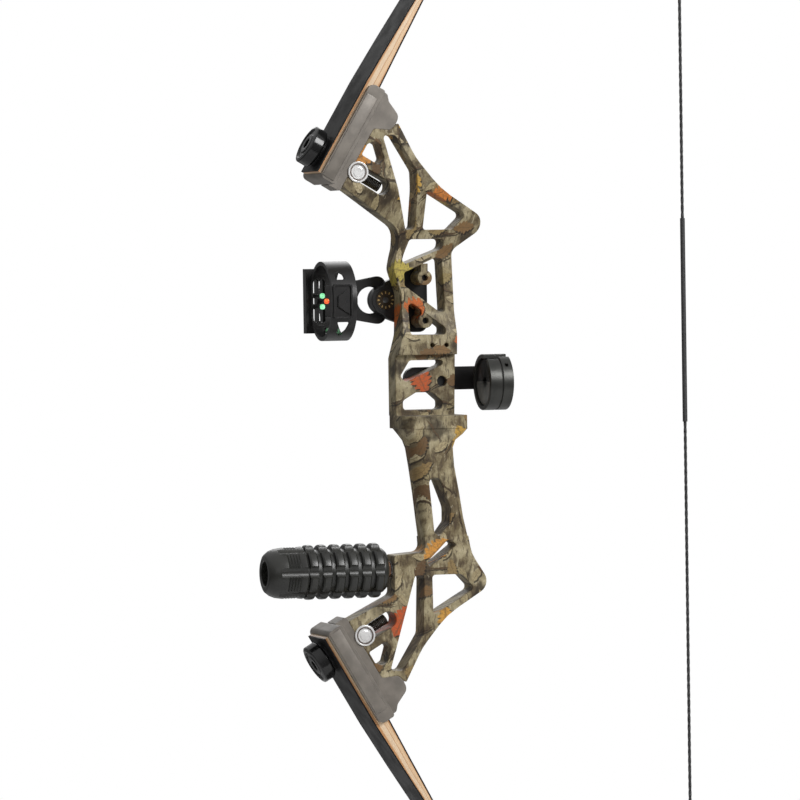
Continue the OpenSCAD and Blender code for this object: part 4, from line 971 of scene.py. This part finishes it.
@dataclass
class LimbMount:
    """Fittings of one end: strips on the pocket's cheeks, rings of painted reflection on the barrel nut,
    thread and knob.

    Strips are placed from the barrel nut, along the limb's root and ahead of it.
    """

    end: End
    nut: tuple[float, float] = (-75.7, 178.5)
    level: float = 40.0
    root_angle: float = 59.5
    strip_run: tuple[float, float] = (-18.6, 54.0)
    strip_ahead: tuple[float, float] = (17.8, 27.6)
    strip_proud: float = 0.55
    strip_sunk: float = 0.3
    strip_round: float = 0.5
    rim: tuple[float, float] = (5.7, 6.7)
    rim_gap: float = 0.03
    rim_thick: float = 0.02
    knob_round: float = 0.6

    def at(self, along: float, ahead: float, across: float) -> Vector:
        """A point of this end of the bow, in metres."""
        turn = math.radians(self.root_angle)
        x = self.nut[0] + along * math.cos(turn) - ahead * math.sin(turn)
        height = self.nut[1] + along * math.sin(turn) + ahead * math.cos(turn)
        return Vector((x, across, self.level + self.end.side * height)) * MM

    def strips(self) -> None:
        """Lays a raised strip along both cheeks of the pocket."""
        bm = bmesh.new()
        for wall in (corner.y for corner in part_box(self.end.value + "_pocket")):
            side = 1 if wall > 0 else -1
            for vert in bmesh.ops.create_cube(bm, size=1.0)["verts"]:
                along = self.strip_run[vert.co.x > 0]
                ahead = self.strip_ahead[vert.co.z > 0]
                out = self.strip_proud if vert.co.y > 0 else -self.strip_sunk
                vert.co = self.at(along, ahead, wall / MM + side * out)
        bmesh.ops.recalc_face_normals(bm, faces=bm.faces)
        Bench.soften(bm, self.strip_round, 3)
        Bench.piece(bm, self.end.value + "_cheek_strips", POCKET_PAINT, Body.BOW, smooth=50.0)

    def reflection_rims(self) -> None:
        """Turns a thin brownish ring on both faces of the barrel nut, a painted reflection on the chrome."""
        low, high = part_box(self.end.value + "_barrel_nut")
        centre = self.at(0.0, 0.0, 0.0)
        bm = bmesh.new()
        for wall in (low.y - self.rim_gap * MM, high.y + self.rim_gap * MM):
            ends = [bm.verts.new((centre.x + reach * MM, wall, centre.z)) for reach in self.rim]
            line = [*ends, bm.edges.new(ends)]
            Bench.turn(bm, line, Vector((centre.x, wall, centre.z)), (0.0, 1.0, 0.0), 48)
        bmesh.ops.solidify(bm, geom=bm.faces, thickness=self.rim_thick * MM)
        Bench.piece(bm, self.end.value + "_nut_rim_reflections", NUT_RIM_REFLECTION, Body.BOW, smooth=50.0)

    def build(self) -> None:
        """Makes the strips and the painted reflection rings, rounds the knob and gives the bolt its thread.
        """
        self.strips()
        self.reflection_rims()
        SoftEdged(self.end.value + "_bolt_knob", KNOB_GLOSS, self.end.bolt, self.knob_round, 3).build()
        turn = math.radians(self.root_angle)
        axis = (-math.sin(turn), 0.0, math.cos(turn) * self.end.side)
        thread = Threaded("black_steel", axis, label=self.end.value + "_thread")
        Bench.dress(self.end.value + "_limb_bolt", thread)


@dataclass
class Limb:
    """One limb: laminated wood read from its depth between the two black faces."""

    end: End
    longest_edge: float = 12.0

    def build(self) -> None:
        """Copies the core, and gives each corner its place along and across the limb."""
        name = self.end.value
        bm = Bench.merged(name + "_limb_core")
        back, belly = (
            BVHTree.FromPolygons([v.co for v in data.vertices], [tuple(p.vertices) for p in data.polygons])
            for data in (frame["nodes"][f"{name}_limb_{face}"].data for face in ("back", "belly"))
        )
        long = [e for e in bm.edges if e.calc_length() > self.longest_edge * MM]
        bmesh.ops.subdivide_edges(bm, edges=long, cuts=1, use_grid_fill=False)
        uv = bm.loops.layers.uv.new("grain")
        for face in bm.faces:
            for loop in face.loops:
                place = loop.vert.co
                near, far = (tree.find_nearest(place)[3] for tree in (back, belly))
                loop[uv].uv = (place.z, far / max(near + far, 1e-6))
        Bench.piece(bm, name + "_limb_wood", LIMB_EDGE, Body.BOW, [name + "_limb_core"], 30.0)


@dataclass
class Bowstring:
    """Bowstring of twisted strands."""

    strands: int = 4
    strand_share: float = 0.44
    lay: float = 26.0
    steps: int = 12

    def build(self) -> None:
        """Sweeps each strand round the string's own axis."""
        low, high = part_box("bowstring")
        foot = Vector(((low.x + high.x) / 2, (low.y + high.y) / 2, low.z))
        radius = (high.x - low.x) / 2
        strand = radius * self.strand_share
        rings = round((high.z - low.z) / (self.lay * MM) * self.steps)
        bm = bmesh.new()
        for k in range(self.strands):
            around = FULL_TURN * k / self.strands
            start = foot + (radius - strand) * Vector((math.cos(around), math.sin(around), 0.0))
            ring = bmesh.ops.create_circle(
                bm, cap_ends=False, segments=6, radius=strand, matrix=Matrix.Translation(start)
            )["verts"]
            bmesh.ops.spin(
                bm, geom=Bench.with_edges(ring), cent=foot, axis=(0.0, 0.0, 1.0),
                dvec=(0.0, 0.0, (high.z - low.z) / rings), angle=FULL_TURN * rings / self.steps,
                steps=rings, use_merge=False, use_duplicate=False,
            )
        Bench.close(bm, 8)
        Bench.piece(bm, "bowstring_strands", STRAND, Body.BOW, ["bowstring"], 60.0)


@dataclass
class BrushHalf:
    """Half of the rest's brush: rows of tapered bristles set in a bent strip."""

    node: str
    finish: Finish
    upper: bool
    seed: int
    rows: int = 9
    row_bristles: int = 84
    root_radius: float = 0.34
    tip_radius: float = 0.09
    hole: float = 4.4
    strip: float = 0.9
    half_gap: float = 0.6
    strip_inset: float = 2.0
    slip: float = 0.3
    short: tuple[float, float] = (0.1, 1.3)
    drift: float = 0.25

    def build(self) -> None:
        """Makes the strip and its bristles, each a little out of line with the next."""
        random.seed(self.seed)
        low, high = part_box(self.node)
        first = 0.0 if self.upper else math.pi
        centre = low.z - self.half_gap * MM if self.upper else high.z + self.half_gap * MM
        axis = Vector((low.x, 0.0, centre))
        out, width = max(abs(low.y), abs(high.y)), high.x - low.x
        bm = bmesh.new()
        self.bend_strip(bm, axis, first, out, width)
        for row in range(self.rows):
            for k in range(self.row_bristles):
                share = (k + 0.5 + random.uniform(-self.slip, self.slip)) / self.row_bristles
                turned = Matrix.Rotation(first + math.pi * share, 3, "X")
                foot = turned @ Vector((0.0, out - 0.5 * self.strip * MM, 0.0))
                tip = turned @ Vector((0.0, (self.hole + random.uniform(*self.short)) * MM, 0.0))
                foot.x = width * (row + 0.5) / self.rows
                tip.x = foot.x + random.uniform(-self.drift, self.drift) * MM
                run = tip - foot
                aim = run.to_track_quat("Z", "Y").to_matrix().to_4x4()
                bmesh.ops.create_cone(
                    bm, cap_ends=True, segments=4, radius1=self.root_radius * MM,
                    radius2=self.tip_radius * MM, depth=run.length,
                    matrix=Matrix.Translation(axis + (foot + tip) / 2) @ aim,
                )
        bmesh.ops.recalc_face_normals(bm, faces=bm.faces)
        Bench.piece(bm, self.node + "_bristles", self.finish, Body.REST_HEAD, [self.node], 50.0)

    def bend_strip(
        self, bm: bmesh.types.BMesh, axis: Vector, first: float, out: float, width: float
    ) -> None:
        """Spins the strip's section half round the ring.

        Args:
            bm: the mesh that it goes into.
            axis: a point on the ring's axis, in metres.
            first: the angle where this half starts.
            out: the strip's outer radius, in metres.
            width: its width, in metres.
        """
        inset = math.radians(self.strip_inset)
        start = Matrix.Rotation(first + inset, 4, "X")
        corners = bmesh.ops.create_grid(bm, x_segments=1, y_segments=1, size=0.5)["verts"]
        for vert in corners:
            radius = out - (vert.co.y + 0.5) * self.strip * MM
            vert.co = axis + start @ Vector(((vert.co.x + 0.5) * width, radius, 0.0))
        faces = {face for vert in corners for face in vert.link_faces}
        bmesh.ops.spin(
            bm, geom=[*Bench.with_edges(corners), *faces], cent=axis, axis=(1.0, 0.0, 0.0),
            angle=math.pi - 2 * inset, steps=40, use_duplicate=False,
        )


@dataclass
class Weight:
    """Rubber stabiliser: a turned body with ribs, cut along by deep round flutes."""

    nose: float = -153.0
    length: float = 97.0
    level: float = -89.0
    flutes: int = 6
    flute_radius: float = 5.4
    flute_out: float = 23.0
    flute_turn: float = -33.0
    flute_start: float = 9.0
    flute_length: float = 105.0
    first_rib: float = 35.2
    rib_pitch: float = 10.6
    ribs: int = 6
    notches: int = 10
    notch_start: float = 14.4
    notch_pitch: float = 1.15
    notch_depth: float = 0.9
    smooth: float = 38.0

    def outline(self) -> list[tuple[float, float]]:
        """The half section from the socket round the nose and the ribs to the rear, as radius and run."""
        line = [
            (7.0, 9.0), (9.6, 9.0), (9.6, 0.8), (10.2, 0.1), (12.8, 0.0),
            (14.8, 0.9), (17.4, 4.2), (18.9, 8.0), (19.6, 13.0),
        ]
        for k in range(self.notches):
            line.append((19.7 - self.notch_depth * (k % 2), self.notch_start + self.notch_pitch * k))
        line += [(19.9, 26.6), (20.2, 29.4), (19.6, 30.3), (17.4, 30.6)]
        for k in range(self.ribs):
            middle = self.first_rib + self.rib_pitch * k
            line += [
                (17.4, middle - 3.6), (19.9, middle - 3.3), (21.0, middle - 2.2), (21.2, middle),
                (21.0, middle + 2.2), (19.9, middle + 3.3), (17.4, middle + 3.6),
            ]
        end = self.length
        return line + [(17.2, end - 3.0), (15.0, end - 0.6), (12.0, end), (7.0, end)]

    def cutter(self, axis: Vector) -> bpy.types.Object:
        """Round bars where the flutes go.

        Args:
            axis: the middle of the nose, in metres.

        Returns:
            The object that cuts the flutes.
        """
        bm = bmesh.new()
        middle = Vector(((self.flute_start + self.flute_length / 2) * MM, 0.0, self.flute_out * MM))
        lying = Matrix.Translation(middle) @ Matrix.Rotation(math.pi / 2, 4, "Y")
        for k in range(self.flutes):
            turned = Matrix.Rotation(math.radians(self.flute_turn) + FULL_TURN * k / self.flutes, 4, "X")
            bmesh.ops.create_cone(
                bm, cap_ends=True, segments=28, radius1=self.flute_radius * MM,
                radius2=self.flute_radius * MM, depth=self.flute_length * MM,
                matrix=Matrix.Translation(axis) @ turned @ lying,
            )
        return Bench.linked("flute_cut", Bench.mesh(bm, "flute_cut"))

    def build(self) -> None:
        """Turns the body, then cuts the flutes out of it."""
        axis = Vector((self.nose * MM, 0.0, self.level * MM))
        bm = bmesh.new()
        ring = [bm.verts.new(axis + Vector((run * MM, 0.0, out * MM))) for out, run in self.outline()]
        edges = [bm.edges.new(pair) for pair in zip(ring, ring[1:])]
        Bench.turn(bm, ring + edges, axis, (1.0, 0.0, 0.0), 96)
        Bench.close(bm)
        made = Bench.piece(bm, "stabiliser_weight", RUBBER, Body.STABILISER, ["stabiliser_body"], self.smooth)
        cutter = self.cutter(axis)
        carve = made.modifiers.new("carve", "BOOLEAN")
        carve.operation, carve.solver, carve.object = "DIFFERENCE", "EXACT", cutter
        Bench.applied(made).set_sharp_from_angle(angle=math.radians(self.smooth))
        bpy.data.objects.remove(cutter)


@dataclass
class PinBead:
    """Bright bead of wound fibre round the tip of a sight pin."""

    node: str
    finish: Finish
    body: Body
    radius: float = 2.05
    hole: float = 0.8

    def build(self) -> None:
        """Spins the bead round the fibre."""
        low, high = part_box(self.node)
        centre = (low + high) / 2
        half = (high.x - low.x) / 2
        thick = (self.radius - self.hole) / 2 * MM
        above = centre + Vector((0.0, 0.0, (self.radius + self.hole) / 2 * MM))
        start = Matrix.Translation(above) @ Matrix.Rotation(math.pi / 2, 4, "X")
        bm = bmesh.new()
        ring = bmesh.ops.create_circle(bm, cap_ends=False, segments=14, radius=thick, matrix=start)["verts"]
        for vert in ring:
            vert.co.x = centre.x + (vert.co.x - centre.x) * half / thick
        Bench.turn(bm, Bench.with_edges(ring), centre, (1.0, 0.0, 0.0), 28)
        bmesh.ops.recalc_face_normals(bm, faces=bm.faces)
        Bench.piece(bm, self.node + "_bead", self.finish, self.body, smooth=60.0)


@dataclass
class DialTicks:
    """Paint in the marks cut round the pivot's dial."""

    count: int = 12
    inner: float = 4.9
    outer: float = 6.7
    wide: float = 0.8
    thick: float = 0.06
    sunk: float = 0.02

    def build(self) -> None:
        """Lays one bar of paint on the near face for each mark."""
        low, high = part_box("sight_pivot")
        centre = Vector(((low.x + high.x) / 2, low.y + self.sunk * MM, (low.z + high.z) / 2))
        middle = Matrix.Translation(((self.inner + self.outer) / 2 * MM, 0.0, 0.0))
        size = Matrix.Diagonal(((self.outer - self.inner) * MM, self.thick * MM, self.wide * MM, 1.0))
        bm = bmesh.new()
        for k in range(self.count):
            turned = Matrix.Rotation(FULL_TURN * k / self.count, 4, "Y")
            bmesh.ops.create_cube(bm, size=1.0, matrix=Matrix.Translation(centre) @ turned @ middle @ size)
        Bench.piece(bm, "dial_ticks", TICK_PAINT, Body.BOW)


@dataclass(frozen=True)
class Lamp:
    """A square soft lamp: its place and side in metres, and its power in watts."""

    name: str
    place: Triple
    side: float
    power: float


@dataclass
class Studio:
    """Pale floor, soft light and the camera at the photograph's angle.

    Sizes and places are metres, but the lens and sensor are millimetres. The four numbers of
    mirror and soft are two heights of the sky and the light's strength at each.
    """

    target: Vector = Vector((-0.0412, 0.0, 0.0421))
    turn: float = 18.0
    roll: float = 0.84
    lift: float = 1.48
    distance: float = 4.225
    lens: float = 245.8
    sensor: float = 36.0
    clip: tuple[float, float] = (0.05, 50.0)
    floor_radius: float = 1.7
    floor_gap: float = 0.0005
    floor_fade: tuple[float, float] = (0.35, 0.95)
    mirror: tuple[float, float, float, float] = (-0.2, 0.9, 0.10, 0.80)
    soft: tuple[float, float, float, float] = (-1.0, 1.0, 0.07, 0.34)
    lamps: tuple[Lamp, ...] = (
        Lamp("key", (1.25, -2.1, 1.35), 1.1, 52.0),
        Lamp("fill", (-1.3, -2.2, 0.6), 1.0, 2.6),
        Lamp("back", (0.6, 1.9, 1.2), 1.4, 12.0),
    )

    def camera(self) -> None:
        """Puts the camera on the near side of the bow, a little above the target."""
        turn, lift, roll = (math.radians(v) for v in (self.turn, self.lift, self.roll))
        across = Vector((math.cos(turn), -math.sin(turn), 0.0))
        back = Vector((-math.sin(turn) * math.cos(lift), -math.cos(turn) * math.cos(lift), math.sin(lift)))
        up = back.cross(across)
        right = across * math.cos(roll) - up * math.sin(roll)
        top = across * math.sin(roll) + up * math.cos(roll)
        data = bpy.data.cameras.new("camera")
        data.lens, data.sensor_width = self.lens, self.sensor
        data.clip_start, data.clip_end = self.clip
        held = Bench.linked("camera", data)
        turned = Matrix((right, top, back)).transposed().to_4x4()
        held.matrix_world = Matrix.Translation(self.target + back * self.distance) @ turned
        bpy.context.scene.camera = held

    def hang(self, lamp: Lamp) -> None:
        """Hangs a lamp so that it faces the bow."""
        data = bpy.data.lights.new(lamp.name, "AREA")
        data.size, data.energy = lamp.side, lamp.power
        held = Bench.linked(lamp.name, data)
        held.location = lamp.place
        held.rotation_euler = (Vector(lamp.place) - self.target).to_track_quat("Z", "Y").to_euler()

    def floor(self) -> None:
        """Lays a pale round floor under the bow that fades to white at its rim."""
        bm = bmesh.new()
        bmesh.ops.create_circle(bm, cap_ends=True, segments=96, radius=self.floor_radius)
        bmesh.ops.translate(bm, verts=bm.verts, vec=(0.0, 0.0, CAD_BOX[0].z - self.floor_gap))
        data = Bench.mesh(bm, "floor")
        held = Bench.linked("floor", data)
        paint = bpy.data.materials.new("floor_paint")
        paint.use_nodes = True
        paint.node_tree.nodes.clear()
        g = Graph(paint.node_tree)
        flat = g.vector("MULTIPLY", g.node("ShaderNodeTexCoord").outputs["Object"], (1.0, 1.0, 0.0))
        reach = g.node("ShaderNodeVectorMath", {0: flat}, operation="LENGTH").outputs["Value"]
        fade = g.band(reach, *(self.floor_radius * share for share in self.floor_fade))
        matt = g.node("ShaderNodeBsdfDiffuse", {"Color": (0.86, 0.86, 0.86)})
        white = g.node("ShaderNodeEmission", {"Color": (1.0, 1.0, 1.0), "Strength": 1.0})
        seen = g.maths("MULTIPLY", g.node("ShaderNodeLightPath").outputs["Is Camera Ray"], fade)
        both = g.node("ShaderNodeMixShader", {0: seen, 1: matt.outputs[0], 2: white.outputs[0]})
        out = g.node("ShaderNodeOutputMaterial")
        g.tree.links.new(both.outputs[0], out.inputs["Surface"])
        data.materials.append(paint)

    def sky(self) -> None:
        """White to the camera, softer in reflections and softest as light on the bow."""
        world = bpy.data.worlds.new("studio")
        bpy.context.scene.world = world
        world.use_nodes = True
        world.node_tree.nodes.clear()
        g = Graph(world.node_tree)
        rays = g.node("ShaderNodeLightPath").outputs
        height = g.split(g.node("ShaderNodeTexCoord").outputs["Generated"])[2]
        shiny = g.maths("MULTIPLY", rays["Is Glossy Ray"], g.band(height, *self.mirror))
        clear = g.maths("MAXIMUM", rays["Is Camera Ray"], rays["Is Transmission Ray"])
        lit = g.maths("MAXIMUM", shiny, g.band(height, *self.soft))
        strength = g.maths("MAXIMUM", clear, lit)
        light = g.node("ShaderNodeBackground", {"Color": (1.0, 1.0, 1.0), "Strength": strength})
        out = g.node("ShaderNodeOutputWorld")
        g.tree.links.new(light.outputs[0], out.inputs["Surface"])

    def build(self) -> None:
        """Sets the view transform, then the camera, floor, sky and lamps."""
        bpy.context.scene.view_settings.view_transform = "Standard"
        self.camera()
        self.floor()
        self.sky()
        for lamp in self.lamps:
            self.hang(lamp)


def plain_dress() -> None:
    """Gives every CAD node its slot's finish. The riser's film also rounds its edges."""
    finishes = {
        finish.slot: finish
        for finish in (
            CAMO, POCKET_PAINT, BLACK_STEEL, STEEL, CHROME, ANODISED, DIAL, GREY_METAL, GUNMETAL, COPPER,
            DARK_BRISTLE, GREY_BRISTLE, LIMB_EDGE, LIMB_FACE, SERVING, RUBBER, GREEN_FIBRE, RED_FIBRE,
            LEVEL_GLASS, BUBBLE,
        )
    }
    for part in frame["record"]["subparts"]:
        Bench.dress(part["node"], finishes[part["material_slot"]])


def main() -> None:
    """Builds the sub-assemblies in order, then the studio."""
    plain_dress()
    for end in End:
        Limb(end).build()
        LimbMount(end).build()
    Bowstring().build()
    BrushHalf("rest_brush_upper", DARK_BRISTLE, upper=True, seed=5).build()
    BrushHalf("rest_brush_lower", GREY_BRISTLE, upper=False, seed=8).build()
    DialTicks().build()
    PinBead("fibre_top", GREEN_FIBRE, Body.PIN_TOP).build()
    PinBead("fibre_middle", RED_FIBRE, Body.PIN_MIDDLE).build()
    PinBead("fibre_bottom", GREEN_FIBRE, Body.PIN_BOTTOM).build()
    Weight().build()
    SoftEdged("sight_arm", ANODISED, Body.SIGHT_ARM, 0.5).build()
    SoftEdged("sight_mount_plate", ANODISED, Body.BOW, 0.5).build()
    SoftEdged("sight_elevation_knob", ANODISED, Body.ELEVATION_KNOB).build()
    SoftEdged("sight_windage_knob", GREY_METAL, Body.WINDAGE_KNOB).build()
    SoftEdged("rest_ring", GUNMETAL, Body.REST_HEAD).build()
    SoftEdged("rest_clamp_knob", BLACK_STEEL, Body.REST_KNOB, 0.5).build()
    for end in End:
        SoftEdged(end.value + "_barrel_nut", CHROME, Body.BOW).build()
    Studio().build()


if __name__ == "__main__":
    logging.basicConfig(level=logging.INFO, format="%(name)s: %(message)s")
    main()
